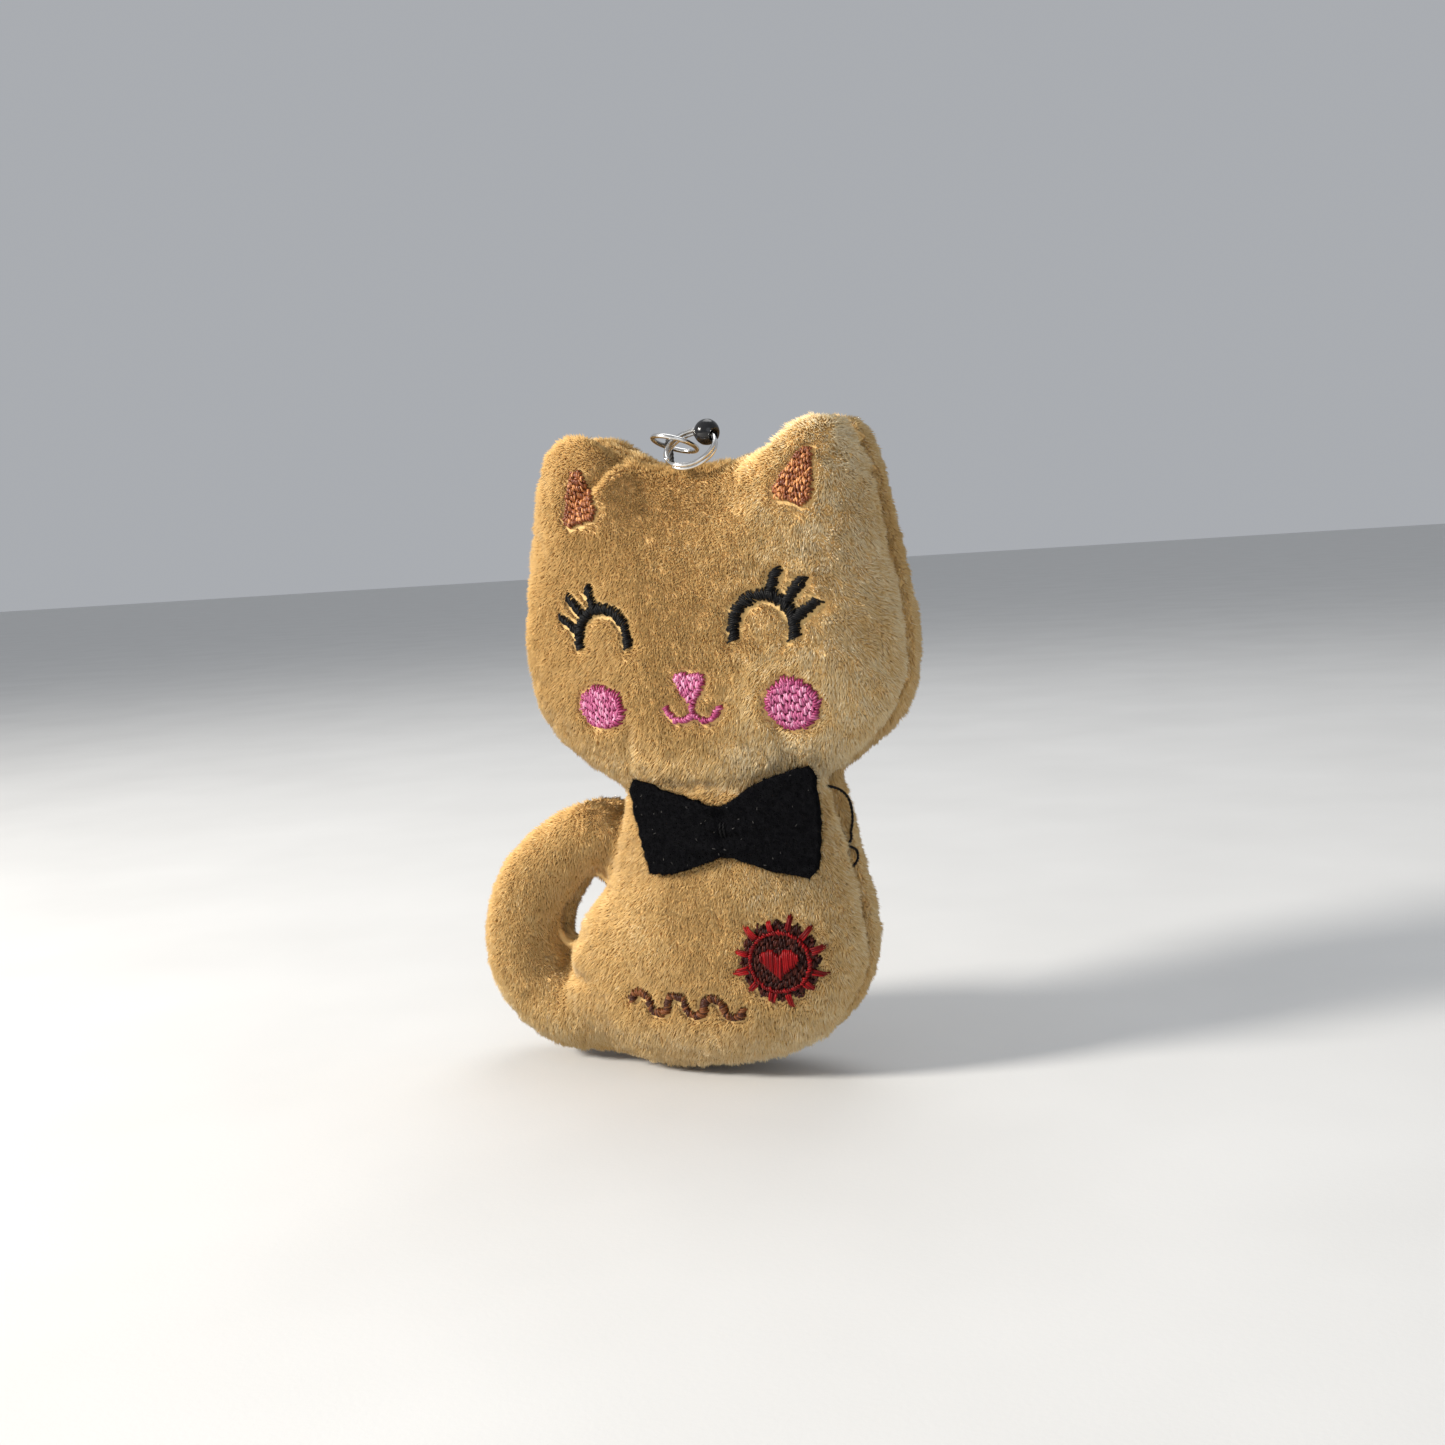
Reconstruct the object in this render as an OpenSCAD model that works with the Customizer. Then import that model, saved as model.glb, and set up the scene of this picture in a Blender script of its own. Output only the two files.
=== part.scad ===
// Plush keychain in the shape of a sitting cat.
// Two plush panels are sewn round a stuffing core. The face and the body carry
// embroidery, a felt bow tie is tacked to the neck, and a cord loop in the crown
// seam holds a jump ring, a split ring and a black bead.
// +Z is up and the face looks towards -Y. The origin lies on the resting plane,
// in the seam plane, under the middle of the head.

/* [Plush body] */
// Half depth of the head, from the seam plane to the middle of the face
head_depth = 14.5; // [12:0.5:17]
// Half depth of the body
body_depth = 13.5; // [11:0.5:16]
// Radius of the stuffed tail
tail_r = 8.6; // [7.6:0.2:9]
// Thickness of the plush cloth with its pile
cloth_t = 1.6; // [1:0.2:2.4]
// Side of the square that stands for the line of seam stitches
seam_t = 0.7; // [0.5:0.1:1]

/* [Face] */
// Distance from the middle of the face to the middle of each eye
eye_x = 13.9; // [12:0.1:15]
// Height of the middle of the eyes
eye_z = 75.7; // [74:0.1:78]
// Mean radius of the closed-eye arc
eye_r = 5; // [4:0.1:5.4]
// Width of the black stitching of the eyes
eye_line = 1.5; // [1:0.1:2]
// Radius of each embroidered cheek
cheek_r = 4; // [3:0.1:4.4]
// Height of the middle of the cheeks
cheek_z = 63.8; // [62:0.2:65]
// Distance from the middle of the face to the middle of each cheek
cheek_x = 17; // [16:0.2:18]

/* [Bow tie] */
// Width of the bow tie from end to end
bow_w = 31.2; // [28:0.2:34]
// Height of the bow tie at its ends
bow_end_h = 16; // [14:0.2:18]
// Height of the bow tie at its pinched middle
bow_mid_h = 8.4; // [6:0.2:10]
// Thickness of the felt
felt_t = 1.2; // [0.8:0.1:1.4]

/* [Body embroidery] */
// Outer radius of the scalloped patch
patch_r = 6.7; // [5.5:0.1:7]
// Number of scallops round the patch
patch_scallops = 12; // [10:1:14]
// Number of waves in the line of brown stitching
wave_count = 6; // [4:1:7]
// Mean radius of each half wave
wave_r = 1.7; // [1.4:0.1:1.8]

/* [Hardware] */
// Diameter of the black cord that makes the hanger loop
cord_d = 0.8; // [0.6:0.05:0.9]
// Wire diameter of the jump ring
jump_wire = 0.8; // [0.6:0.05:0.9]
// Radius of the jump ring to the middle of its wire
jump_r = 3.75; // [3.6:0.05:3.9]
// Wire diameter of the split ring
split_wire = 0.7; // [0.6:0.05:0.75]
// Radius of the split ring to the middle of its wire
split_r = 4.15; // [4.05:0.05:4.25]
// Diameter of the black bead
bead_d = 4.2; // [4:0.1:4.4]

/* [Hidden] */
$fn = 48;

FRONT = -1;
BACK = 1;
STITCH_T = 0.5;        // how far embroidery stands proud of the cloth
STITCH_SINK = 0.5;     // how far its threads go into the cloth
STUFFING_GAP = 0.1;    // between the stuffing and the cloth

// Colours
TAN = "burlywood";
THREAD_BLACK = "#18181a";
THREAD_PINK = "hotpink";
THREAD_BROWN = "sienna";

// Outline of the right half of the head, from the middle of the crown round the
// ear and the cheek to the chin, as [x, z].
HEAD_HALF = [
    [0, 104], [9, 104.4], [14.5, 106.5], [20, 108.3], [25.2, 107.2], [28, 103],
    [29.6, 96], [31.2, 89], [32.6, 82], [33.2, 75], [32.8, 67.5], [30.2, 60.5],
    [25.2, 54.5], [18, 50], [9, 47], [0, 46]
];
// Outline of the body from the hidden top of the neck down its right side and
// round the lobe that the tail grows from, as [x, z].
BODY_RING = [
    [0, 60], [12, 57], [18.5, 50], [20, 44], [22.6, 37], [25, 30], [25.8, 23.5],
    [24.6, 16.5], [20.8, 9.5], [14, 4], [4, 0.4], [-5, -0.8], [-16, -0.6],
    [-25, 2], [-30.5, 7], [-32.4, 13], [-31.6, 19.5], [-28.6, 26], [-24.2, 32],
    [-20.3, 38], [-18.2, 45], [-16.6, 52], [-10, 58]
];
// Middle line of the tail as [x, z], with its width there as a share of tail_r.
TAIL_LINE = [
    [-14, 9, 0.96], [-25, 8.3, 0.97], [-34.3, 10, 1], [-39.9, 16, 1],
    [-40.6, 24, 0.99], [-37.4, 32.2, 0.94], [-31, 37.9, 0.9],
    [-24.6, 40.6, 0.88], [-20.2, 41.2, 0.76], [-17.2, 41.5, 0.4]
];

// A lobe is [smooth outline, centre, half depth, squareness of its edge].
HEAD = [
    smooth_loop(concat(HEAD_HALF, mirrored(HEAD_HALF)), 3),
    [0, 76], head_depth, 7
];
BODY = [smooth_loop(BODY_RING, 3), [-1, 24], body_depth, 4];
LOBE_RINGS = [0.3, 0.52, 0.68, 0.8, 0.88, 0.94, 0.98, 1];
EDGE_ROUND = 3.5;      // exponent that rounds a lobe's edge
CROWNING = 0.22;       // share of its depth that a lobe loses by its edge

// The left half of a symmetrical ring of points, in ring order.
function mirrored(half) = [for (i = [len(half) - 2:-1:1]) [-half[i].x, half[i].y]];

// The same triangles seen from their other side.
function turned(faces) = [for (f = faces) [f[2], f[1], f[0]]];

// A point between b and c on the Catmull-Rom curve through a, b, c and d.
function curve_point(a, b, c, d, t) =
    0.5 * (2 * b + (c - a) * t + (2 * a - 5 * b + 4 * c - d) * t * t
        + (3 * b - a - 3 * c + d) * t * t * t);

function smooth_loop(p, steps) = let (n = len(p)) [
    for (i = [0:n - 1], k = [0:steps - 1])
        curve_point(p[(i + n - 1) % n], p[i], p[(i + 1) % n], p[(i + 2) % n], k / steps)
];

function smooth_path(p, steps) = let (last = len(p) - 1) concat([
    for (i = [0:last - 1], k = [0:steps - 1])
        curve_point(p[max(i - 1, 0)], p[i], p[i + 1], p[min(i + 2, last)], k / steps)
], [p[last]]);

// How deep a lobe is at a share u of the way from its centre to its outline.
function puff(u, square) =
    (1 - CROWNING * u * u) * pow(max(0, 1 - pow(u, square)), 1 / EDGE_ROUND);

// The share u at point p, found in the one sector of the outline that holds p.
function sector_share(a, b, p) =
    let (w = cross(a, b), s = cross(p, b) / w, t = cross(a, p) / w)
    s >= -0.001 && t >= -0.001 ? s + t : 0;
function share_at(lobe, p) = let (ring = lobe[0], c = lobe[1], n = len(ring))
    max([for (i = [0:n - 1]) sector_share(ring[i] - c, ring[(i + 1) % n] - c, p - c)]);
function front_y(lobe, x, z) = -lobe[2] * puff(share_at(lobe, [x, z]), lobe[3]);

// Half of a lobe on one side of the seam plane, shrunk by inset all round.
module half_lobe(lobe, side, inset) {
    ring = lobe[0];
    centre = lobe[1];
    depth = lobe[2] - inset;
    n = len(ring);
    rings = len(LOBE_RINGS);
    shell = [
        for (u = LOBE_RINGS, p = ring)
            let (q = centre + (p - centre) * (1 - inset / norm(p - centre)) * u)
            [q.x, side * depth * puff(u, lobe[3]), q.y]
    ];
    points = concat([[centre.x, side * depth, centre.y], [centre.x, 0, centre.y]], shell);
    cap = [for (i = [0:n - 1]) [0, 2 + i, 2 + (i + 1) % n]];
    wall = [
        for (r = [0:rings - 2], i = [0:n - 1])
            let (a = 2 + r * n + i, b = 2 + r * n + (i + 1) % n)
            each [[a, a + n, b], [b, a + n, b + n]]
    ];
    base = [for (i = [0:n - 1]) let (r = 2 + (rings - 1) * n) [1, r + (i + 1) % n, r + i]];
    faces = concat(cap, wall, base);
    polyhedron(points, side == FRONT ? faces : turned(faces));
}

// Half of the tail on one side of the seam plane, shrunk by inset all round.
module half_tail(side, inset) {
    line = smooth_path(TAIL_LINE, 2);
    last = len(line) - 1;
    arc_steps = 8;
    row = arc_steps + 1;
    points = [
        for (i = [0:last])
            let (
                a = line[max(i - 1, 0)], b = line[min(i + 1, last)],
                along = [b.x - a.x, b.y - a.y] / norm([b.x - a.x, b.y - a.y]),
                r = max(line[i].z * tail_r - inset, 0.2)
            )
            for (k = [0:arc_steps])
                let (turn = 180 * k / arc_steps)
                [line[i].x - along.y * r * cos(turn), side * r * sin(turn),
                    line[i].y + along.x * r * cos(turn)]
    ];
    skin = [
        for (i = [0:last - 1], k = [0:arc_steps - 1])
            let (a = i * row + k, b = a + row)
            each [[a, a + 1, b], [b, a + 1, b + 1]]
    ];
    flat_side = [
        for (i = [0:last - 1])
            let (a = i * row, b = a + row, c = a + arc_steps, d = c + row)
            each [[a, b, c], [c, b, d]]
    ];
    start_cap = [for (k = [1:arc_steps - 1]) [0, k + 1, k]];
    end_cap = [for (k = [1:arc_steps - 1]) let (e = last * row) [e, e + k, e + k + 1]];
    faces = concat(skin, flat_side, start_cap, end_cap);
    polyhedron(points, side == FRONT ? turned(faces) : faces);
}

// One side of the whole toy, shrunk by inset.
module half_toy(side, inset) {
    half_lobe(HEAD, side, inset);
    half_lobe(BODY, side, inset);
    half_tail(side, inset);
}

// Both sides together, shrunk by inset.
module whole_toy(inset) {
    half_toy(FRONT, inset);
    half_toy(BACK, inset);
}

// The front panel: a shell of cloth that meets its twin in the seam plane.
module panel() {
    resize([0, 0, 0])
    difference() {
        half_toy(FRONT, 0);
        whole_toy(cloth_t);
        below_rest();
    }
}

// Everything under the resting plane.
module below_rest() {
    translate([-60, -30, -5]) cube([120, 60, 5]);
}

// The outline of the toy in the seam plane, drawn flat. A slit frees the tip of
// the tail from the neck, so that the seam runs round it in one line.
module flat_outline() {
    slit = [[-25.4, 31], [-25, 31], [-18.4, 49.5], [-18.8, 49.5]];
    difference() {
        union() {
            polygon(HEAD[0]);
            polygon(BODY[0]);
            for (p = smooth_path(TAIL_LINE, 2))
                translate([p.x, p.y]) circle(r = p.z * tail_r);
        }
        polygon(slit);
    }
}

// Moves its children to the front of a lobe, their z axis pointing out of the cloth.
module on_front(lobe, x, z) {
    step = 1;
    slope_x = (front_y(lobe, x + step, z) - front_y(lobe, x - step, z)) / (2 * step);
    slope_z = (front_y(lobe, x, z + step) - front_y(lobe, x, z - step)) / (2 * step);
    translate([x, front_y(lobe, x, z), z])
        rotate([90 - atan(slope_z), 0, atan(slope_x)])
        children();
}

// A raised band of stitching along an arc round the origin.
module stitched_arc(radius, width, from, sweep) {
    rotate([0, 0, from])
        rotate_extrude(angle = sweep)
        translate([radius - width / 2, -STITCH_SINK])
        square([width, STITCH_SINK + STITCH_T]);
}

// A straight raised stitch from a to b.
module stitched_bar(a, b, width) {
    along = b - a;
    translate([a.x, a.y, -STITCH_SINK])
        rotate([0, 0, atan2(along.y, along.x)])
        translate([0, -width / 2, 0])
        cube([norm(along), width, STITCH_SINK + STITCH_T]);
}

// A round rod of thread between two points.
module thread(a, b, radius) {
    along = b - a;
    translate(a)
        rotate([0, acos(along.z / norm(along)), atan2(along.y, along.x)])
        cylinder(r = radius, h = norm(along));
}

// Turns the z axis by tilt away from upright, towards the compass angle heading.
module leaning(tilt, heading) {
    rotate([0, 0, heading]) rotate([0, tilt, 0]) rotate([0, 0, -heading]) children();
}

// ---- Plush body ----

module front_panel() color(TAN) panel();

module back_panel() color(TAN) mirror([0, 1, 0]) panel();

module stuffing() {
    color("ivory") resize([0, 0, 0]) whole_toy(cloth_t + STUFFING_GAP);
}

module seam_thread() {
    seam_in = 0.98;    // from the outline to the line of stitches
    color("peru")
        resize([0, 0, 0])
        rotate([90, 0, 0])
        linear_extrude(seam_t, center = true)
        difference() {
            offset(delta = -seam_in) flat_outline();
            offset(delta = -seam_in - seam_t) flat_outline();
        }
}

// A zigzag that closes the stuffing hole beside the neck, with its loose end.
module closing_stitch() {
    radius = 0.25;
    reach = 1.7;       // to each side of the seam
    pitch = 1.7;
    start = [22.75, 0, 36.2];
    lean = -0.34;      // the outline leans this much for each mm upward
    last = 3;
    end_r = 6.2;       // radius of the loose end's curve
    end_from = 85;
    end_sweep = 115;
    end_heading = -115;
    function corner(i) = start + [lean * pitch * i, i % 2 == 0 ? -reach : reach, pitch * i];
    color(THREAD_BLACK) {
        for (i = [0:last - 1]) thread(corner(i), corner(i + 1), radius);
        for (i = [0:last]) translate(corner(i)) sphere(radius * 1.15);
        translate(corner(last))
            rotate([0, 0, end_heading])
            rotate([90, 0, 0])
            translate([-end_r * cos(end_from + end_sweep), -end_r * sin(end_from + end_sweep), 0])
            rotate([0, 0, end_from])
            rotate_extrude(angle = end_sweep)
            translate([end_r, 0])
            circle(radius);
    }
}

// ---- Face ----

EYE_SKEW = 0.4;        // the right-hand eye sits this much higher than the middle

// One closed eye with three lashes; hand is 1 for the right-hand eye, -1 for the left.
module eye(hand) {
    leg = 1.9;
    lash_w = 1.2;
    lashes = [[[1.2, 4.7], [2.5, 9.1]], [[3.5, 3.5], [7, 7.6]], [[4.9, 0.9], [9.1, 4.1]]];
    color(THREAD_BLACK)
        on_front(HEAD, hand * eye_x, eye_z + hand * EYE_SKEW) {
            stitched_arc(eye_r, eye_line, 0, 180);
            for (end = [-eye_r, eye_r]) stitched_bar([end, -leg], [end, 0.3], eye_line);
            for (lash = lashes)
                stitched_bar([hand * lash[0].x, lash[0].y], [hand * lash[1].x, lash[1].y], lash_w);
        }
}

module eye_left() eye(-1);

module eye_right() eye(1);

FACE_MIDDLE = 0.9;     // the nose, mouth and cheeks sit a little right of the middle

module cheek(hand) {
    color(THREAD_PINK)
        on_front(HEAD, FACE_MIDDLE + hand * cheek_x, cheek_z)
        translate([0, 0, -STITCH_SINK])
        cylinder(r = cheek_r, h = STITCH_SINK + STITCH_T);
}

module cheek_left() cheek(-1);

module cheek_right() cheek(1);

NOSE_Z = 67;
NOSE_HALF_H = 2.2;

module nose() {
    half_w = 2.75;
    tip_w = 0.5;
    color(THREAD_PINK)
        on_front(HEAD, FACE_MIDDLE, NOSE_Z)
        translate([0, 0, -STITCH_SINK])
        linear_extrude(STITCH_SINK + STITCH_T)
        polygon([
            [-half_w, NOSE_HALF_H - 0.8], [-half_w + 0.7, NOSE_HALF_H], [0, NOSE_HALF_H - 0.4],
            [half_w - 0.7, NOSE_HALF_H], [half_w, NOSE_HALF_H - 0.8], [tip_w, -NOSE_HALF_H],
            [-tip_w, -NOSE_HALF_H]
        ]);
}

module mouth() {
    line_w = 0.9;
    stem = 2.2;
    curl_r = 2.6;
    curl_x = 2.15;     // the curls meet under the stem
    curl_from = 220;
    curl_sweep = 130;
    stem_end = -curl_r * sin(curl_from - 180);
    color(THREAD_PINK)
        on_front(HEAD, FACE_MIDDLE, NOSE_Z - NOSE_HALF_H - stem - stem_end) {
            stitched_bar([0, stem_end - line_w / 2], [0, stem_end + stem - 0.1], line_w);
            translate([curl_x, 0, 0])
                stitched_arc(curl_r, line_w, curl_from, curl_sweep);
            translate([-curl_x, 0, 0])
                stitched_arc(curl_r, line_w, 540 - curl_from - curl_sweep, curl_sweep);
        }
}

// The satin-stitched lining of one ear, its middle at [x, z].
module inner_ear(middle, lean) {
    extra_sink = 0.6;  // the ear curves away under the flat patch
    half_w = 2.6;
    half_h = 4;
    color(THREAD_BROWN)
        on_front(HEAD, middle.x, middle.y)
        rotate([0, 0, lean])
        translate([0, 0, -STITCH_SINK - extra_sink])
        linear_extrude(STITCH_SINK + extra_sink + STITCH_T)
        polygon([
            [-half_w, -half_h], [half_w, -half_h], [half_w + 0.3, -half_h + 1.3],
            [0.7, half_h], [-0.7, half_h], [-half_w - 0.3, -half_h + 1.3]
        ]);
}

module inner_ear_left() inner_ear([-18.2, 98.4], 8);

module inner_ear_right() inner_ear([20.4, 99.5], -19);

// ---- Bow tie ----

BOW_MIDDLE = [5.4, -13.8, 44.2];
BOW_TILT = -2.3;       // the bow sits a little off level

module in_bow_plane() {
    translate(BOW_MIDDLE) rotate([0, BOW_TILT, 0]) rotate([90, 0, 0]) children();
}

module bow_tie() {
    steps = 6;
    half_w = bow_w / 2;
    function half_h(share) = bow_mid_h / 2 + (bow_end_h - bow_mid_h) / 2 * pow(abs(share), 0.9);
    shares = [for (i = [-steps:steps]) i / steps];
    upper = [for (s = shares) [s * half_w, half_h(s)]];
    lower = [for (s = shares) [-s * half_w, -half_h(s)]];
    color(THREAD_BLACK)
        in_bow_plane()
        linear_extrude(felt_t, center = true)
        polygon(concat(upper, lower));
}

// A staple of thread that tacks the middle of the bow to the neck.
module bow_stitch() {
    radius = 0.35;
    half_span = 1.3;
    proud = felt_t / 2 + 0.2;
    depth = -2.2;
    color("black")
        in_bow_plane() {
            for (end = [-half_span, half_span]) {
                thread([0, end, depth], [0, end, proud], radius);
                translate([0, end, proud]) sphere(radius);
            }
            thread([0, -half_span, proud], [0, half_span, proud], radius);
        }
}

// ---- Body embroidery ----

module on_patch() {
    on_front(BODY, 13, 22.3) children();
}

module patch_base() {
    scallop_r = 1.5;
    color(THREAD_BROWN)
        on_patch()
        translate([0, 0, -STITCH_SINK]) {
            cylinder(r = patch_r - 0.9, h = STITCH_SINK + STITCH_T);
            for (i = [0:patch_scallops - 1])
                rotate([0, 0, 360 * i / patch_scallops])
                translate([patch_r - scallop_r, 0, 0])
                cylinder(r = scallop_r, h = STITCH_SINK + STITCH_T);
        }
}

HEART_T = 0.4;         // how far the heart stands proud of the patch

module patch_heart() {
    lobe_r = 1.55;
    lobe_x = 1.3;
    point = 2.9;
    thick = HEART_T + STITCH_T / 2;
    color("red")
        on_patch()
        translate([0, 0, STITCH_T / 2]) {
            for (hand = [-1, 1]) translate([hand * lobe_x, 0.9, 0]) cylinder(r = lobe_r, h = thick);
            linear_extrude(thick)
                polygon([[0, -point], [2.4, -0.2], [lobe_x, 1], [-lobe_x, 1], [-2.4, -0.2]]);
        }
}

// Red running stitches: a ring on the patch with short spokes out into the plush.
module patch_stitches() {
    ring_r = 4.9;
    ring_w = 0.5;
    spoke_end = 7.9;
    spoke_w = 0.45;
    low = -0.3;
    high = STITCH_T + 0.3;
    color("firebrick")
        on_patch() {
            rotate_extrude() translate([ring_r - ring_w / 2, 0.3]) square([ring_w, high - 0.3]);
            for (i = [0:patch_scallops - 1])
                rotate([0, 0, 360 * (i + 0.5) / patch_scallops])
                translate([ring_r, -spoke_w / 2, low])
                cube([spoke_end - ring_r, spoke_w, high - low]);
        }
}

// A line of brown stitching that runs in waves across the foot of the body.
module wave_stitching() {
    line_w = 0.9;
    start_x = -14.6;
    mid_z = 14;
    arc_steps = 6;
    count = wave_count * arc_steps;
    line = [
        for (i = [0:count])
            let (wave = floor(i / arc_steps), turn = 180 * (i % arc_steps) / arc_steps)
            [start_x + wave_r * (2 * wave + 1 - cos(turn)),
                mid_z + (wave % 2 == 0 ? 1 : -1) * wave_r * sin(turn)]
    ];
    points = [
        for (i = [0:count])
            let (
                along = line[min(i + 1, count)] - line[max(i - 1, 0)],
                across = [-along.y, along.x] / norm(along) * line_w / 2
            )
            for (edge = [-1, 1], lift = [-STITCH_T, STITCH_SINK])
                let (p = line[i] + edge * across)
                [p.x, front_y(BODY, p.x, p.y) + lift, p.y]
    ];
    corners = [0, 1, 3, 2];
    walls = [
        for (i = [0:count - 1], k = [0:3])
            let (a = 4 * i + corners[k], b = 4 * i + corners[(k + 1) % 4])
            each [[a, b, a + 4], [b, b + 4, a + 4]]
    ];
    e = 4 * count;
    ends = [[0, 3, 1], [0, 2, 3], [e, e + 1, e + 3], [e, e + 3, e + 2]];
    color(THREAD_BROWN) polyhedron(points, concat(walls, ends));
}

// ---- Hardware ----

LOOP_MIDDLE = [-6.2, -1.3, 105.8];
LOOP_TURN = 132;       // compass angle of the loop's plane
JUMP_MIDDLE = [-3.7, -4.1, 106.1];
JUMP_TILT = 20;
JUMP_HEADING = 55;
SPLIT_MIDDLE = [0.8, -7.7, 104.8];
SPLIT_TILT = 44;
BEAD_ANGLE = 65;       // where the bead rests on the split ring

module hanger_loop() {
    loop_r = 1.25;
    leg = 3.2;
    color("black")
        translate(LOOP_MIDDLE)
        rotate([0, 0, LOOP_TURN]) {
            rotate([90, 0, 0])
                rotate_extrude(angle = 180) translate([loop_r, 0]) circle(d = cord_d);
            for (end = [-loop_r, loop_r])
                translate([end, 0, -leg]) cylinder(d = cord_d, h = leg);
        }
}

module jump_ring() {
    gap = 4;           // degrees left open between the wire ends
    color("silver")
        translate(JUMP_MIDDLE)
        leaning(JUMP_TILT, JUMP_HEADING)
        rotate([0, 0, 70 + gap / 2])
        rotate_extrude(angle = 360 - gap)
        translate([jump_r, 0])
        circle(d = jump_wire);
}

// The frame of the split ring: its axis is z.
module on_split_ring() {
    translate(SPLIT_MIDDLE) rotate([SPLIT_TILT, 0, 0]) children();
}

module split_ring() {
    coil_z = split_wire / 2 - 0.02;
    gap = 5;
    color("gainsboro")
        on_split_ring()
        for (side = [-1, 1])
            translate([0, 0, side * coil_z])
            rotate([0, 0, 250 + side * 14])
            rotate_extrude(angle = 360 - gap)
            translate([split_r, 0])
            circle(d = split_wire);
}

module bead() {
    bore_r = 1;
    color("black")
        on_split_ring()
        difference() {
            rotate([0, 0, BEAD_ANGLE]) translate([split_r, 0, 0]) sphere(d = bead_d);
            rotate_extrude() translate([split_r, 0]) circle(bore_r);
        }
}

front_panel();
back_panel();
stuffing();
seam_thread();
closing_stitch();
bow_tie();
bow_stitch();
eye_left();
eye_right();
cheek_left();
cheek_right();
nose();
mouth();
inner_ear_left();
inner_ear_right();
patch_base();
patch_heart();
patch_stitches();
wave_stitching();
hanger_loop();
jump_ring();
split_ring();
bead();
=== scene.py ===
"""A plush cat keychain, dressed round its CAD frame.

Two plush skins meet in a seam, and short pile stands on them. Satin stitches make the
face and the patch, felt makes the bow tie, and wire, cord and a bead make the hanger.
Lengths are in millimetres inside this script and in metres in the meshes it makes.
"""

import itertools
import math

import bmesh
import bpy
import numpy as np
from mathutils import Matrix, Vector
from mathutils.bvhtree import BVHTree
from mathutils.kdtree import KDTree


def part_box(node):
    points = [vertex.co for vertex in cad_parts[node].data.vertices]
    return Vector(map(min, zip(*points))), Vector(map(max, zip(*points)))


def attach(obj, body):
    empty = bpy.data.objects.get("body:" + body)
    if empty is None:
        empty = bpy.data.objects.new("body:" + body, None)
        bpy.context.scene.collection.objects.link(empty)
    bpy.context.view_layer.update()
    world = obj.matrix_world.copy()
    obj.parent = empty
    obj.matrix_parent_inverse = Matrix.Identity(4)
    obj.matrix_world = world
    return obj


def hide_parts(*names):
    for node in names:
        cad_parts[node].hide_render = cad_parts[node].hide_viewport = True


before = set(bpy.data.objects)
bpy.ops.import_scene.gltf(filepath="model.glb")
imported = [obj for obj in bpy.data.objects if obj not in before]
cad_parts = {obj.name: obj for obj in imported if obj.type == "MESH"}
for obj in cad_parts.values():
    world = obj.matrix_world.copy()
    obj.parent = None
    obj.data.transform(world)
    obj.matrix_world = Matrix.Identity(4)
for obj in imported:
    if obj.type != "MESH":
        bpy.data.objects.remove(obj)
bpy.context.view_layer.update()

MM = 0.001
TOY = "toy"


def cad_box(node):
    """The lowest and highest corners of a CAD node, in millimetres."""
    return [np.array(corner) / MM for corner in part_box(node)]


def cad_middle(node):
    """The middle of a CAD node's box, in millimetres."""
    low, high = cad_box(node)
    return (low + high) / 2


# ---------------------------------------------------------------- camera and light

VIEW_AZIMUTH = math.radians(25)
VIEW_ELEVATION = math.radians(7)
VIEW_ROLL = math.radians(3.5)
VIEW_DISTANCE = 270
VIEW_TARGET = np.array([0.0, 0.0, 55.0])
VIEW_LENS = 40.02
SENSOR_WIDTH = 36
VIEW_SHIFT_X = -0.0017
VIEW_SHIFT_Y = 0.0197


def view_axes():
    """The camera's right, up and backward directions."""
    a, e, r = VIEW_AZIMUTH, VIEW_ELEVATION, VIEW_ROLL
    back = np.array([math.sin(a) * math.cos(e), -math.cos(a) * math.cos(e), math.sin(e)])
    level = np.array([math.cos(a), math.sin(a), 0])
    upright = np.cross(back, level)
    right = level * math.cos(r) - upright * math.sin(r)
    return right, np.cross(back, right), back


def add_camera():
    right, up, back = view_axes()
    data = bpy.data.cameras.new("camera")
    camera = bpy.data.objects.new("camera", data)
    bpy.context.scene.collection.objects.link(camera)
    place = (VIEW_TARGET + VIEW_DISTANCE * back) * MM
    rows = np.eye(4)
    rows[:3, 0], rows[:3, 1], rows[:3, 2], rows[:3, 3] = right, up, back, place
    camera.matrix_world = Matrix(rows.tolist())
    data.sensor_width = SENSOR_WIDTH
    data.lens = VIEW_LENS
    data.shift_x = VIEW_SHIFT_X
    data.shift_y = VIEW_SHIFT_Y
    data.clip_start = 0.01
    data.clip_end = 10
    bpy.context.scene.camera = camera


def add_light(name, place, target, size, power, colour):
    """A round lamp aimed at its target. Place, target and size are in metres."""
    data = bpy.data.lights.new(name, "AREA")
    data.shape = "DISK"
    data.size = size
    data.energy = power
    data.color = colour
    light = bpy.data.objects.new(name, data)
    bpy.context.scene.collection.objects.link(light)
    light.location = place
    aim = Vector(target) - Vector(place)
    light.rotation_euler = aim.to_track_quat("-Z", "Y").to_euler()


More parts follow.
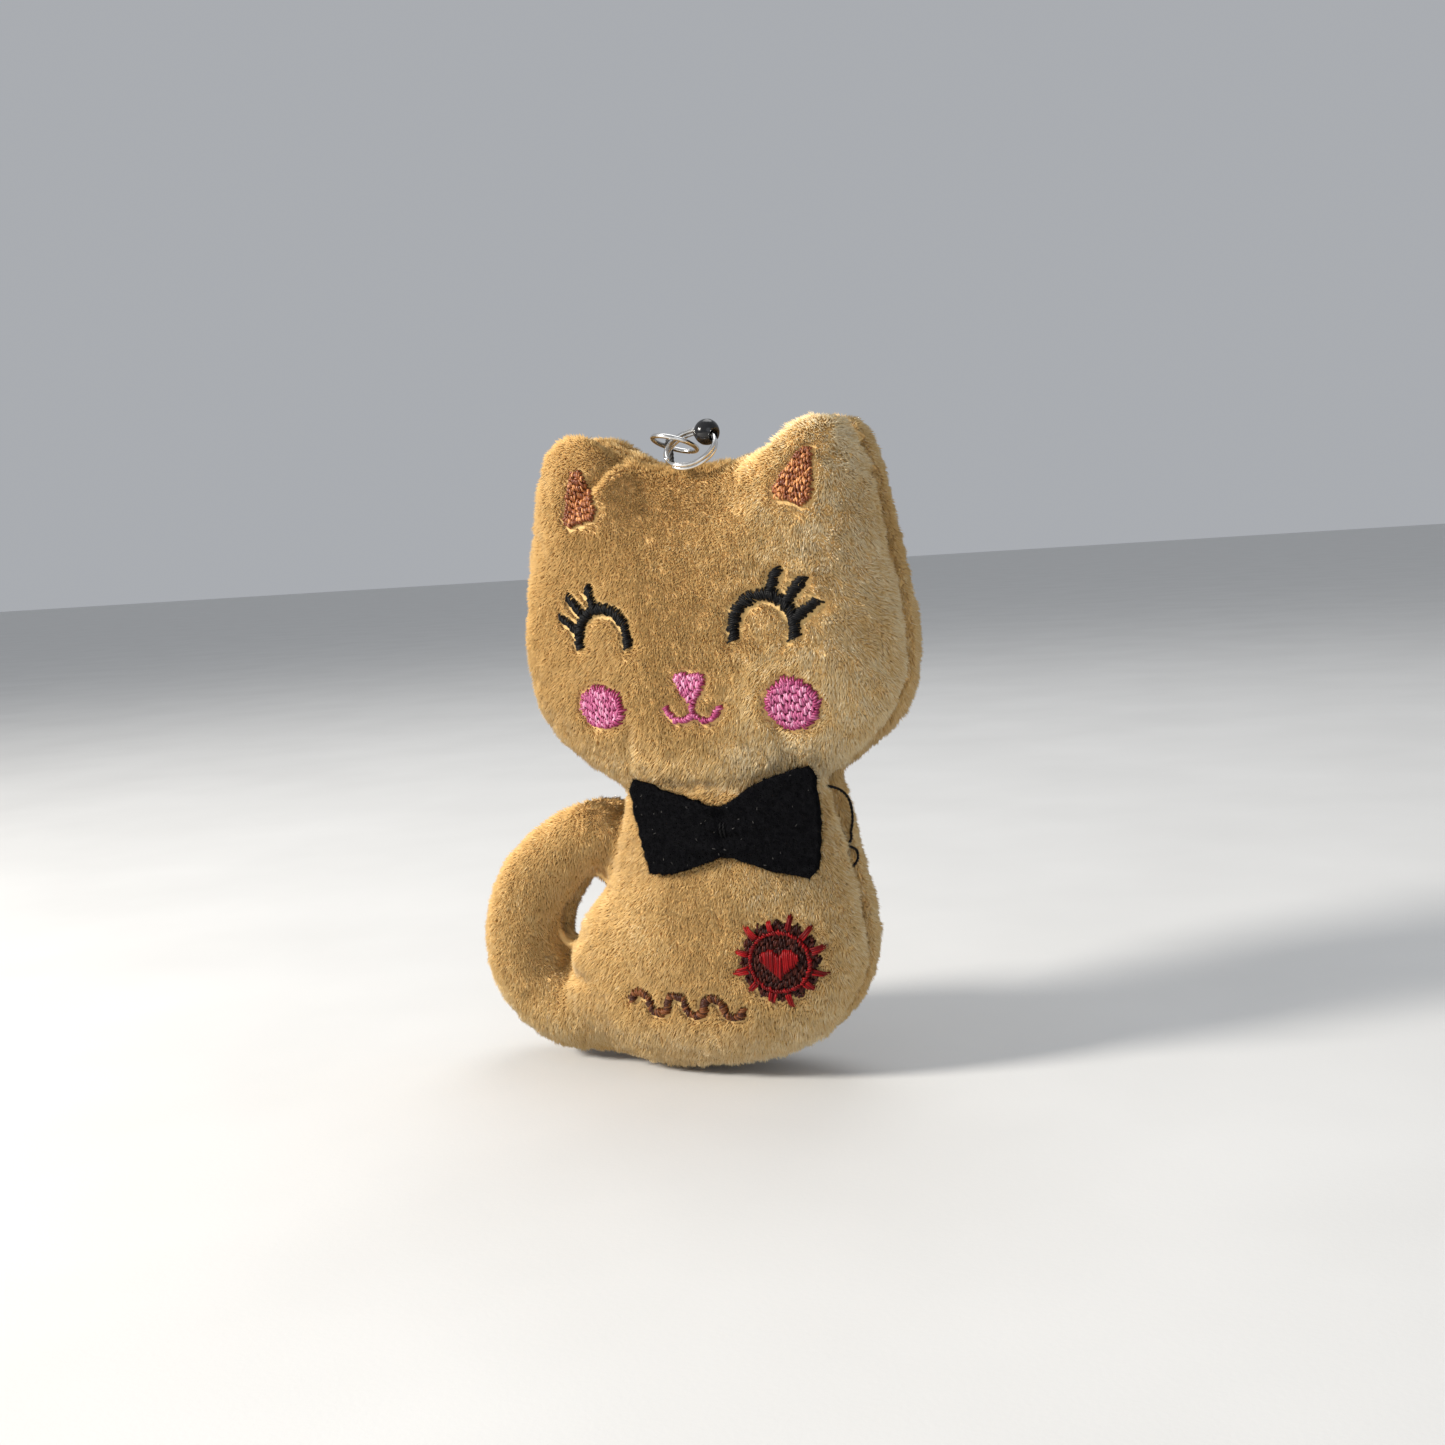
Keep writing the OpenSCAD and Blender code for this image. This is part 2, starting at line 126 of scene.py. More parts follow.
def add_studio():
    add_light("key", (-0.60, -0.56, 0.46), (0, 0, 0.07), 0.22, 12.5, (1.0, 0.95, 0.88))
    add_light("fill", (0.65, -0.75, 0.35), (0, 0, 0.05), 0.7, 1.0, (0.88, 0.93, 1.0))
    add_light("top", (-0.1, 0.35, 0.85), (0, 0, 0.05), 0.6, 2.2, (1.0, 1.0, 1.0))
    world = bpy.data.worlds.new("studio")
    world.use_nodes = True
    background = world.node_tree.nodes["Background"]
    background.inputs["Color"].default_value = (0.80, 0.83, 0.88, 1)
    background.inputs["Strength"].default_value = 0.5
    bpy.context.scene.world = world
    bpy.context.scene.view_settings.view_transform = "Standard"

    reach = 12000
    corners = [(-reach, -reach, 0), (reach, -reach, 0), (reach, reach, 0), (-reach, reach, 0)]
    floor = new_object("floor", corners, [(0, 1, 2, 3)])
    floor.data.materials.append(mottled("floor", (0.66, 0.66, 0.65), (0.70, 0.70, 0.69), 60, 0.85, 0.8, 0.02))


# ---------------------------------------------------------------- noise

def hashed(cells, seed):
    """A fixed random number from -1 to 1 for each cell of a lattice."""
    h = (cells[..., 0] * 73856093) ^ (cells[..., 1] * 19349663) ^ (cells[..., 2] * 83492791)
    h = ((h ^ (seed * 374761393)) & 0xFFFFFFFF).astype(np.uint64)
    for shift, factor in ((15, 2246822519), (13, 3266489917)):
        h ^= h >> np.uint64(shift)
        h = (h * np.uint64(factor)) & np.uint64(0xFFFFFFFF)
    h ^= h >> np.uint64(16)
    return h.astype(float) / 2 ** 31 - 1


def lumps(points, size, seed):
    """Smooth noise from -1 to 1 whose lumps are about that size; size may differ by axis."""
    q = points / np.asarray(size, float)
    base = np.floor(q).astype(np.int64)
    part = q - base
    part = part * part * (3 - 2 * part)
    total = np.zeros(len(points))
    for corner in itertools.product((0, 1), repeat=3):
        weight = np.prod(np.where(np.array(corner) == 1, part, 1 - part), axis=-1)
        total += weight * hashed(base + np.array(corner), seed)
    return total


# ---------------------------------------------------------------- meshes

def new_object(name, points, faces):
    """An object from points in millimetres and an array of triangles, or a list of faces."""
    mesh = bpy.data.meshes.new(name)
    points = np.asarray(points, float) * MM
    if isinstance(faces, np.ndarray):
        mesh.vertices.add(len(points))
        mesh.vertices.foreach_set("co", points.astype(np.float32).ravel())
        mesh.loops.add(faces.size)
        mesh.loops.foreach_set("vertex_index", faces.astype(np.int32).ravel())
        mesh.polygons.add(len(faces))
        mesh.polygons.foreach_set("loop_start", np.arange(0, faces.size, faces.shape[1], dtype=np.int32))
        mesh.update(calc_edges=True)
    else:
        mesh.from_pydata([tuple(p) for p in points], [], faces)
        mesh.update()
    obj = bpy.data.objects.new(name, mesh)
    bpy.context.scene.collection.objects.link(obj)
    return obj


def smooth_shaded(obj):
    obj.data.polygons.foreach_set("use_smooth", np.ones(len(obj.data.polygons), bool))
    obj.data.update()
    return obj


def points_of(mesh):
    points = np.zeros(len(mesh.vertices) * 3, np.float32)
    mesh.vertices.foreach_get("co", points)
    return points.reshape(-1, 3).astype(float) / MM


def baked(obj):
    """The mesh as its modifiers leave it, put in their place."""
    shape = bpy.data.meshes.new_from_object(obj.evaluated_get(bpy.context.evaluated_depsgraph_get()))
    obj.modifiers.clear()
    obj.data = shape
    return obj


def triangles_of(mesh):
    mesh.calc_loop_triangles()
    triangles = np.zeros(len(mesh.loop_triangles) * 3, np.int32)
    mesh.loop_triangles.foreach_get("vertices", triangles)
    return triangles.reshape(-1, 3)


def unit(vectors):
    return vectors / np.maximum(np.linalg.norm(vectors, axis=-1, keepdims=True), 1e-9)


def normals_of(points, triangles):
    a, b, c = (points[triangles[:, k]] for k in range(3))
    face = np.cross(b - a, c - a)
    total = np.zeros_like(points)
    for k in range(3):
        for axis in range(3):
            total[:, axis] += np.bincount(triangles[:, k], face[:, axis], len(points))
    return unit(total)


def eased(values, triangles, rounds):
    """Values on points, averaged with their neighbours a number of times."""
    count = len(values)
    pairs = np.concatenate([triangles[:, [0, 1]], triangles[:, [1, 2]], triangles[:, [2, 0]]])
    degree = np.bincount(pairs[:, 0], minlength=count) + np.bincount(pairs[:, 1], minlength=count)
    for _ in range(rounds):
        total = np.zeros_like(values)
        for axis in range(values.shape[1]):
            total[:, axis] += np.bincount(pairs[:, 0], values[pairs[:, 1], axis], count)
            total[:, axis] += np.bincount(pairs[:, 1], values[pairs[:, 0], axis], count)
        values = 0.5 * values + 0.5 * total / degree[:, None]
    return values


def measured(path):
    """How far along a path each of its points is."""
    return np.concatenate([[0], np.cumsum(np.linalg.norm(np.diff(path, axis=0), axis=1))])


def walked(path, at):
    """The points at those distances along a path."""
    along = measured(path)
    return np.stack([np.interp(at, along, column) for column in path.T], 1)


def resampled(path, step):
    """Points one step apart along a path, and how far along it they are."""
    path = np.asarray(path, float)
    length = measured(path)[-1]
    at = np.linspace(0, length, max(int(length / step), 2) + 1)
    return walked(path, at), at


def carried(along, guide):
    """Directions across a path, each turned from the one before no more than it must be."""
    across = np.zeros_like(along)
    for i, ahead in enumerate(along):
        guide = unit(guide - ahead * (guide @ ahead))
        across[i] = guide
    return across


def cut_at(bm, y, away):
    """Cuts a mesh at that y, and drops the half that lies that way."""
    everything = bm.verts[:] + bm.edges[:] + bm.faces[:]
    bmesh.ops.bisect_plane(bm, geom=everything, plane_co=(0, y, 0), plane_no=(0, away, 0), clear_outer=True)


def stand_in(obj, node, body=TOY):
    """The piece rides on a body, and stands for a CAD node."""
    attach(obj, body)
    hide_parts(node)


class Parts:
    """Collects points and faces of many small shapes into one mesh."""

    def __init__(self):
        self.points, self.faces, self.slots, self.count = [], [], [], 0

    def add(self, points, faces, slot=0):
        self.points.append(np.asarray(points, float))
        self.faces += [tuple(i + self.count for i in face) for face in faces]
        self.slots += [slot] * len(faces)
        self.count += len(points)

    def tube(self, path, radius, sides=6, slot=0, closed=False, flat=1.0, out=None):
        """A round rod along a path; radius may be a list. It is flat times as thick in the direction out."""
        path = np.asarray(path, float)
        count = len(path)
        radius = np.broadcast_to(np.asarray(radius, float), (count,))
        if closed:
            along = unit(np.roll(path, -1, 0) - np.roll(path, 1, 0))
        else:
            along = unit(np.gradient(path, axis=0))
        if out is None:
            lift = carried(along, np.array([0.0, 0, 1] if abs(along[0, 2]) < 0.8 else [1.0, 0, 0]))
        else:
            lift = np.broadcast_to(np.asarray(out, float), path.shape)
            lift = unit(lift - along * np.sum(lift * along, 1, keepdims=True))
        side = np.cross(along, lift)
        turn = 2 * math.pi * np.arange(sides) / sides
        rings = (
            path[:, None]
            + radius[:, None, None] * (side[:, None] * np.cos(turn)[None, :, None]
                                       + flat * lift[:, None] * np.sin(turn)[None, :, None])
        )
        faces = []
        for i in range(count if closed else count - 1):
            a, b = i * sides, (i + 1) % count * sides
            faces += [(a + k, a + (k + 1) % sides, b + (k + 1) % sides, b + k) for k in range(sides)]
        if not closed:
            faces.append(tuple(range(sides - 1, -1, -1)))
            faces.append(tuple(range((count - 1) * sides, count * sides)))
        self.add(rings.reshape(-1, 3), faces, slot)

    def object(self, name, materials):
        obj = new_object(name, np.concatenate(self.points), self.faces)
        for material in materials:
            obj.data.materials.append(material)
        obj.data.polygons.foreach_set("material_index", np.array(self.slots, np.int32))
        return smooth_shaded(obj)


# ---------------------------------------------------------------- materials

def plain(name, colour, roughness, sheen=0.0, sheen_tint=(1, 1, 1), metallic=0.0, specular=0.5):
    material = bpy.data.materials.new(name)
    material.use_nodes = True
    values = {
        "Base Color": (*colour, 1), "Roughness": roughness, "Metallic": metallic,
        "Specular IOR Level": specular, "Sheen Weight": sheen, "Sheen Roughness": 0.45,
        "Sheen Tint": (*sheen_tint, 1),
    }
    for socket, value in values.items():
        material.node_tree.nodes["Principled BSDF"].inputs[socket].default_value = value
    return material


def noise(tree, size, detail):
    """Noise over the object, in patches of about that size in millimetres."""
    place = tree.nodes.new("ShaderNodeTexCoord")
    node = tree.nodes.new("ShaderNodeTexNoise")
    node.inputs["Scale"].default_value = 1 / (size * MM)
    node.inputs["Detail"].default_value = detail
    tree.links.new(place.outputs["Object"], node.inputs["Vector"])
    return node.outputs["Fac"]


def mottled(name, dark, light, size, roughness, bump_size, bump_height, **options):
    """A surface that varies between two colours, with fine relief. Sizes are in millimetres."""
    material = plain(name, light, roughness, **options)
    tree = material.node_tree
    link = tree.links.new
    shader = tree.nodes["Principled BSDF"]
    colour = tree.nodes.new("ShaderNodeValToRGB")
    for stop, place, tone in zip(colour.color_ramp.elements, (0.3, 0.7), (dark, light)):
        stop.position = place
        stop.color = (*tone, 1)
    link(noise(tree, size, 3.0), colour.inputs["Fac"])
    link(colour.outputs["Color"], shader.inputs["Base Color"])
    grain = noise(tree, bump_size, 4.0)
    rough = tree.nodes.new("ShaderNodeMapRange")
    rough.inputs["To Min"].default_value = max(roughness - 0.12, 0.02)
    rough.inputs["To Max"].default_value = min(roughness + 0.12, 1)
    link(grain, rough.inputs["Value"])
    link(rough.outputs["Result"], shader.inputs["Roughness"])
    bump = tree.nodes.new("ShaderNodeBump")
    bump.inputs["Distance"].default_value = bump_height * MM
    link(grain, bump.inputs["Height"])
    link(bump.outputs["Normal"], shader.inputs["Normal"])
    return material


def threads(name, colours, roughness, specular=0.5):
    """One thread in a few shades, each a material of its own."""
    return [mottled(f"{name}_{i}", scaled(colour, 0.78), colour, 0.9, roughness, 0.15, 0.04,
                    sheen=0.03, specular=specular)
            for i, colour in enumerate(colours)]


def scaled(colour, share):
    return tuple(min(c * share, 1.0) for c in colour)


# ---------------------------------------------------------------- shape of the toy

# The CAD part's outlines, as [x, z] in the seam plane, a little wider at the ears, the cheeks
# and the shoulder, because the seam pulls a stuffed skin in.
HEAD_HALF = [
    (0, 103.8), (9, 104.4), (14.5, 107.4), (20, 110.4), (26.2, 109.7), (29.7, 104.8),
    (31.7, 97), (33.4, 89), (34.9, 82), (35.6, 75), (35.2, 67.5), (32.3, 60),
    (26, 53.8), (18, 49.5), (9, 47), (0, 46),
]
BODY_RING = [
    (0, 60), (13, 57), (20.8, 51), (22.4, 44), (24.3, 37), (26, 30), (26.6, 23.5),
    (25.2, 16.5), (21.2, 9.5), (14, 4), (4, 0.4), (-5, -0.8), (-16, -0.6),
    (-25, 2), (-30.5, 7), (-32.4, 13), (-31.6, 19.5), (-28.6, 26), (-24.2, 32),
    (-20.3, 38), (-18.2, 45), (-16.6, 52), (-10, 58),
]
# The middle line of the tail, with its width as a share of TAIL_R.
TAIL_LINE = [
    (-14, 9, 0.96), (-25, 8.3, 0.97), (-34.3, 10, 1), (-39.9, 16, 1), (-40.6, 24, 0.99),
    (-37.4, 32.2, 0.94), (-31, 37.9, 0.9), (-24.6, 40.6, 0.88), (-20.2, 41.2, 0.76),
    (-17.2, 41.5, 0.4),
]
HEAD_DEPTH = 14.5
BODY_DEPTH = 13.5
TAIL_R = 8.6
EDGE_ROUND = 3.5
CROWNING = 0.22
SHARES = (0.3, 0.52, 0.68, 0.8, 0.88, 0.94, 0.98)

VOXEL = 1.1            # size of the remeshed faces before they are subdivided
SIM_SCALE = 10         # the cloth is simulated ten times as large as it is
START_INSET = 0.9      # the shape starts this much thinner, and the pressure fills it
EDGE_INSET = 0.1       # and this much smaller in outline
SWELL = 1.1            # how far the pressure may move a point
SIM_FRAMES = 20
CLOTH_SETTINGS = {
    "quality": 6, "mass": 0.2, "tension_stiffness": 12, "compression_stiffness": 12,
    "shear_stiffness": 4, "bending_stiffness": 0.3, "use_pressure": True, "uniform_pressure_force": 4,
}


def smoothed(points, steps, closed=False):
    """Points along a smooth curve through the given ones."""
    p = np.asarray(points, float)
    n = len(p)
    i = np.arange(n if closed else n - 1)
    near = [(i + k) % n if closed else np.clip(i + k, 0, n - 1) for k in (-1, 0, 1, 2)]
    a, b, c, d = (p[j][:, None] for j in near)
    t = np.arange(steps)[None, :, None] / steps
    curve = 0.5 * (2 * b + (c - a) * t + (2 * a - 5 * b + 4 * c - d) * t * t
                   + (3 * b - a - 3 * c + d) * t ** 3)
    curve = curve.reshape(-1, p.shape[1])
    return curve if closed else np.concatenate([curve, p[-1:]])


def puff(share, square):
    """How deep a lobe is at a share of the way from its centre to its outline."""
    return (1 - CROWNING * share ** 2) * (1 - share ** square) ** (1 / EDGE_ROUND)


def add_lobe(parts, ring, centre, depth, square):
    """A closed cushion inside a ring of [x, z]: rings of points from its front pole to its back pole."""
    centre = np.array(centre, float)
    away = ring - centre
    reach = np.linalg.norm(away, axis=1, keepdims=True)
    ring = centre + away * (1 - EDGE_INSET / reach)
    depth -= START_INSET
    n = len(ring)
    levels = [(share, -1) for share in SHARES] + [(1.0, 0)] + [(share, 1) for share in SHARES[::-1]]
    points = [[centre[0], -depth, centre[1]]]
    for share, side in levels:
        flat = centre + (ring - centre) * share
        y = np.full(n, side * depth * puff(share, square))
        points += np.stack([flat[:, 0], y, flat[:, 1]], 1).tolist()
    points.append([centre[0], depth, centre[1]])
    faces = [(0, 1 + i, 1 + (i + 1) % n) for i in range(n)]
    for level in range(len(levels) - 1):
        a = 1 + level * n
        faces += [(a + i, a + n + i, a + n + (i + 1) % n, a + (i + 1) % n) for i in range(n)]
    top = 1 + (len(levels) - 1) * n
    faces += [(top + i, len(points) - 1, top + (i + 1) % n) for i in range(n)]
    parts.add(points, faces)


def rough_toy():
    """The three lobes of the toy, remeshed into one closed skin at the scale of the simulation."""
    mirrored = [(-x, z) for x, z in HEAD_HALF[-2:0:-1]]
    parts = Parts()
    add_lobe(parts, smoothed(HEAD_HALF + mirrored, 3, True), (0, 76), HEAD_DEPTH, 7)
    add_lobe(parts, smoothed(BODY_RING, 3, True), (-1, 24), BODY_DEPTH, 4)
    line = smoothed(TAIL_LINE, 3)
    centre = np.stack([line[:, 0], np.zeros(len(line)), line[:, 1]], 1)
    parts.tube(centre, np.maximum(line[:, 2] * TAIL_R - EDGE_INSET, 0.3), sides=24, out=(0, 1, 0))
    obj = new_object("toy", np.concatenate(parts.points) * SIM_SCALE, parts.faces)
    remesh = obj.modifiers.new("remesh", "REMESH")
    remesh.mode = "VOXEL"
    remesh.voxel_size = VOXEL * SIM_SCALE * MM
    return baked(obj)


def inflated(obj):
    """Presses the skin out by air pressure, with its seam held."""
    rest = points_of(obj.data)
    normals = normals_of(rest, triangles_of(obj.data))
    seam = (np.abs(rest[:, 1]) < 1.3 * SIM_SCALE) & (np.abs(normals[:, 1]) < 0.4)
    group = obj.vertex_groups.new(name="seam")
    group.add(np.flatnonzero(seam).tolist(), 1.0, "REPLACE")
    cloth = obj.modifiers.new("cloth", "CLOTH")
    for name, value in CLOTH_SETTINGS.items():
        setattr(cloth.settings, name, value)
    cloth.settings.effector_weights.gravity = 0
    cloth.settings.vertex_group_mass = "seam"
    cloth.point_cache.frame_start = 1
    cloth.point_cache.frame_end = SIM_FRAMES
    scene = bpy.context.scene
    for frame_number in range(1, SIM_FRAMES + 1):
        scene.frame_set(frame_number)
    shape = obj.evaluated_get(bpy.context.evaluated_depsgraph_get()).to_mesh()
    moved = points_of(shape) - rest
    obj.modifiers.clear()
    obj.vertex_groups.clear()
    scene.frame_set(1)
    distance = np.linalg.norm(moved, axis=1, keepdims=True)
    most = SWELL * SIM_SCALE
    capped = most * np.tanh(distance / most)
    put_points(obj.data, rest + moved * capped / np.maximum(distance, 1e-6))
    return obj


def put_points(mesh, points):
    mesh.vertices.foreach_set("co", (np.asarray(points) * MM).astype(np.float32).ravel())
    mesh.update()


def toy_skin():
    """Points and triangles of the finished outer surface, where the tips of the pile are."""
    obj = rough_toy()
    points = points_of(obj.data)
    put_points(obj.data, eased(points, triangles_of(obj.data), 3))
    inflated(obj)
    subdivide = obj.modifiers.new("subdivide", "SUBSURF")
    subdivide.levels = subdivide.render_levels = 1
    baked(obj)
    points = points_of(obj.data) / SIM_SCALE
    triangles = triangles_of(obj.data)
    bpy.data.objects.remove(obj)
    return points, triangles


GROOVE_DEPTH = 2.0     # of the seam, under the fabric on its two sides
GROOVE_HALF = 1.15
PULL_DEPTH = 1.5       # how far the seam also pulls the fabric round it in
PULL_HALF = 4.8
PUCKER = 0.45
PUCKER_HALF = 4.5
CREASE_GAIN = 1.6      # how much deeper the creases between the lobes get
CREASE_MOST = 1.2
FLAT_FROM = 1.3        # below this height the toy's weight flattens its underside
FLAT_AT = 0.1

# Short folds in the front of the cloth: from [x, z], to [x, z], how deep, and how wide to one side.
FOLDS = [
    ((-12.2, 104.5), (-20.8, 95.5), 1.5, 1.1),
    ((-33.5, 18), (-24, 16.5), 1.2, 1.3),
]


def fold_depth(points, start, end, half_width):
    """1 along the bottom of a fold in the front, easing to 0 beside it and past its ends."""
    start = np.array(start, float)
    along = np.array(end, float) - start
    flat = points[:, [0, 2]]
    share = (flat - start) @ along / (along @ along)
    near = start + np.clip(share, 0, 1)[:, None] * along
    distance = np.linalg.norm(flat - near, axis=1)
    ends = np.sin(math.pi * np.clip(share * 0.8 + 0.1, 0, 1))
    return np.exp(-(distance / half_width) ** 2) * ends * (points[:, 1] < 0)


def with_seams(points, triangles):
    """Sinks the seam and its puckers, and deepens the folds at the neck, the left ear and the tail."""
    normals = normals_of(points, triangles)
    hollow = np.sum((eased(points, triangles, 40) - points) * normals, 1)
    points = points - normals * np.clip(hollow, 0, CREASE_MOST)[:, None] * CREASE_GAIN
    normals = normals_of(points, triangles)
    off_seam = np.abs(points[:, 1])
    flat = normals * (1, 0, 1)
    wall = np.linalg.norm(flat, axis=1)
    inward = -unit(flat)
    groove = GROOVE_DEPTH * np.exp(-(off_seam / GROOVE_HALF) ** 2)
    on_tail = np.clip((-20 - points[:, 0]) / 8, 0, 1) * (points[:, 2] < 49)
    groove += PULL_DEPTH * (1 - 0.75 * on_tail) * np.exp(-(off_seam / PULL_HALF) ** 2)
    wrinkle = lumps(points, (2.4, 9, 2.4), 3) + 0.5 * lumps(points, (5, 14, 5), 4)
    wrinkle = PUCKER * wrinkle * np.exp(-(off_seam / PUCKER_HALF) ** 2)
    sink = (groove + wrinkle) * np.clip(wall * 1.4 - 0.2, 0, 1)
    points = points + inward * sink[:, None]
    slack = 0.35 * lumps(points, 17, 5) + 0.16 * lumps(points, 7, 6)
    points = points + normals_of(points, triangles) * slack[:, None]
    folds = sum(depth * fold_depth(points, start, end, half) for start, end, depth, half in FOLDS)
    points = points - normals_of(points, triangles) * folds[:, None]
    low = points[:, 2] < FLAT_FROM
    soft = FLAT_FROM - FLAT_AT
    points[low, 2] = FLAT_AT + soft * np.exp((points[low, 2] - FLAT_FROM) / soft)
    return points


# ---------------------------------------------------------------- embroidery

class Spot:
    """A flat drawing frame on the toy's front: right, up and out of the cloth at one place."""

    def __init__(self, tree, x, z, turn=0.0):
        ahead = Vector((0, 1, 0))

        def touch(dx, dz):
            return np.array(tree.ray_cast(Vector((x + dx, -40, z + dz)), ahead)[0])

        self.tree = tree
        self.middle = touch(0, 0)
        reach = 1.8
        along_x = touch(reach, 0) - touch(-reach, 0)
        along_z = touch(0, reach) - touch(0, -reach)
        self.out = unit(np.cross(along_x, along_z))
        right = unit(np.array([1.0, 0, 0]) - self.out * self.out[0])
        up = np.cross(self.out, right)
        c, s = math.cos(math.radians(turn)), math.sin(math.radians(turn))
        self.right = right * c + up * s
        self.up = up * c - right * s

    def on_cloth(self, drawn, lift):
        """Drawn points [u, v] put on the cloth, raised by lift."""
        lift = np.broadcast_to(lift, (len(drawn),))
        placed = []
        for (u, v), rise in zip(drawn, lift):
            start = self.middle + self.right * u + self.up * v + self.out * 5
            hit = self.tree.ray_cast(Vector(start), Vector(-self.out), 12)
            place = np.array(hit[0]) if hit[0] else start - self.out * 5
            placed.append(place + self.out * rise)
        return np.array(placed)


THREAD_R = 0.19
ROW = 0.31             # from one satin stitch to the next
SUNK = 0.5             # how far the satin lies under the tips of the pile round it
DIVE = 0.45            # how far each stitch goes down at its ends


def across_path(path, width, rng, slant, row, ragged):
    """Satin stitches laid across a line: a list of [start, end] in the drawing."""
    path = np.asarray(path, float)
    points, at = resampled(path, row)
    directions = unit(walked(path, at + 0.1) - walked(path, at - 0.1))
    stitches = []
    for point, direction in zip(points, directions):
        angle = math.radians(90 + slant + rng.normal(0, 4))
        c, s = math.cos(angle), math.sin(angle)
        across = np.array([[c, -s], [s, c]]) @ direction
        half = width / 2 + rng.normal(0, ragged, 2)
        stitches.append((point - across * half[0], point + across * half[1]))
    return stitches


def across_shape(outline, rng, angle, row=ROW, ragged=0.16, piece=None):
    """Stitches that fill a closed outline side by side, whole or in short pieces."""
    a = math.radians(angle)
    along = np.array([math.cos(a), math.sin(a)])
    over = np.array([-math.sin(a), math.cos(a)])
    outline = np.asarray(outline, float)
    u, v = outline @ along, outline @ over
    next_u, next_v = np.roll(u, -1), np.roll(v, -1)
    stitches = []
    for level in np.arange(v.min() + row / 2, v.max(), row):
        cut = (v > level) != (next_v > level)
        share = (level - v[cut]) / (next_v[cut] - v[cut])
        crossings = np.sort(u[cut] + share * (next_u[cut] - u[cut]))
        for start, end in zip(crossings[::2], crossings[1::2]):
            start -= abs(rng.normal(0, ragged))
            end += abs(rng.normal(0, ragged))
            if end - start < 0.4:
                continue
            cuts = [start]
            if piece:
                cuts += np.arange(start + piece * rng.uniform(0.35, 1), end - 0.4, piece).tolist()
            cuts.append(end)
            for a, b in zip(cuts[:-1], cuts[1:]):
                lean = rng.normal(0, 0.05 if piece is None else 0.11)
                stitches.append((along * a + over * (level - lean), along * b + over * (level + lean)))
    return stitches


def ring_outline(radius, waves=0, depth=0.0, points=72):
    """A circle, or a scalloped one."""
    turn = 2 * math.pi * np.arange(points) / points
    r = radius + depth * np.cos(waves * turn)
    return np.stack([r * np.cos(turn), r * np.sin(turn)], 1)


def arc(radius, start, sweep, middle=(0, 0), points=25):
    turn = np.radians(start + sweep * np.linspace(0, 1, points))
    return np.stack([middle[0] + radius * np.cos(turn), middle[1] + radius * np.sin(turn)], 1)


class Embroidery:
    """Satin stitches of one motif, drawn in a Spot and sewn into the cloth."""

    def __init__(self, spot, rng):
        self.spot, self.rng = spot, rng
        self.parts = Parts()
        self.marks = []

    def sew(self, stitches, rise=0.25, radius=THREAD_R, base=0.0, slots=(0, 1)):
        for start, end in stitches:
            length = np.linalg.norm(end - start)
            steps = int(np.clip(length / 0.7, 4, 10))
            t = np.linspace(0, 1, steps + 1)
            drawn = start + (end - start) * t[:, None]
            arch = np.minimum(1, np.sin(math.pi * t) * (1.4 + 0.25 * length))
            lift = base - SUNK - DIVE + (DIVE + rise) * arch + self.rng.normal(0, 0.06)
            path = self.spot.on_cloth(drawn, lift)
            slot = int(self.rng.choice(slots))
            thread = radius * self.rng.uniform(0.9, 1.1)
            self.parts.tube(path, thread, 6, slot, flat=0.85, out=self.spot.out)
            self.marks.append(path + self.spot.out * SUNK)


EYE_R = 5.0
EYE_LINE = 2.0         # how wide the CAD part's eye line is
EYE_DROP = 2.1         # from the middle of the eye's arc down to its ends
CHEEK_R = 4.0
LASHES = [((1.2, 4.7), (2.4, 8.8)), ((3.5, 3.5), (6.7, 7.3)), ((4.9, 0.9), (8.7, 3.8))]


def sew_eye(tree, hand, rng):
    """The left eye came out a little smaller and finer than the right one."""
    low, high = cad_box("eye_right" if hand > 0 else "eye_left")
    reach = EYE_R + EYE_LINE / 2
    size, middle_x = (1.0, low[0] + reach) if hand > 0 else (0.93, high[0] - reach - 0.5)
    work = Embroidery(Spot(tree, middle_x, low[2] + EYE_DROP), rng)
    corner = [(EYE_R, -1.9), (EYE_R, -0.9)]
    lid = np.concatenate([corner, arc(EYE_R, 0, 180), [(-u, v) for u, v in corner[::-1]]])
    work.sew(across_path(lid * size, 1.85 + 0.15 * hand, rng, 24, 0.34, 0.2), 0.35)
    for lash in LASHES:
        line = np.array(lash) * (hand, 1) * size
        work.sew(across_path(line, 1.7 + 0.2 * hand, rng, 34, 0.34, 0.18), 0.3)
    return work


def sew_cheek(tree, hand, rng):
    x, _, z = cad_middle("cheek_right" if hand > 0 else "cheek_left")
    work = Embroidery(Spot(tree, x, z), rng)
    size = np.array((1.04, 1.04) if hand > 0 else (1.0, 0.86)) * CHEEK_R
    disc = ring_outline(1)
    work.sew(across_shape(disc * 0.9 * size, rng, 10, 0.5), 0.0, base=-0.15)
    fill = across_shape(disc * 0.86 * size, rng, 97, ragged=0.3, piece=1.5)
    # Slot 2, the palest pink, is partly a painted glint.
    work.sew(fill, 0.3, slots=(1, 1, 2))
    rim = arc(1, 0, 360, points=60) * (size - 0.35)
    work.sew(across_path(rim, 1.15, rng, 20, 0.42, 0.24), 0.3, slots=(0, 0, 1))
    return work


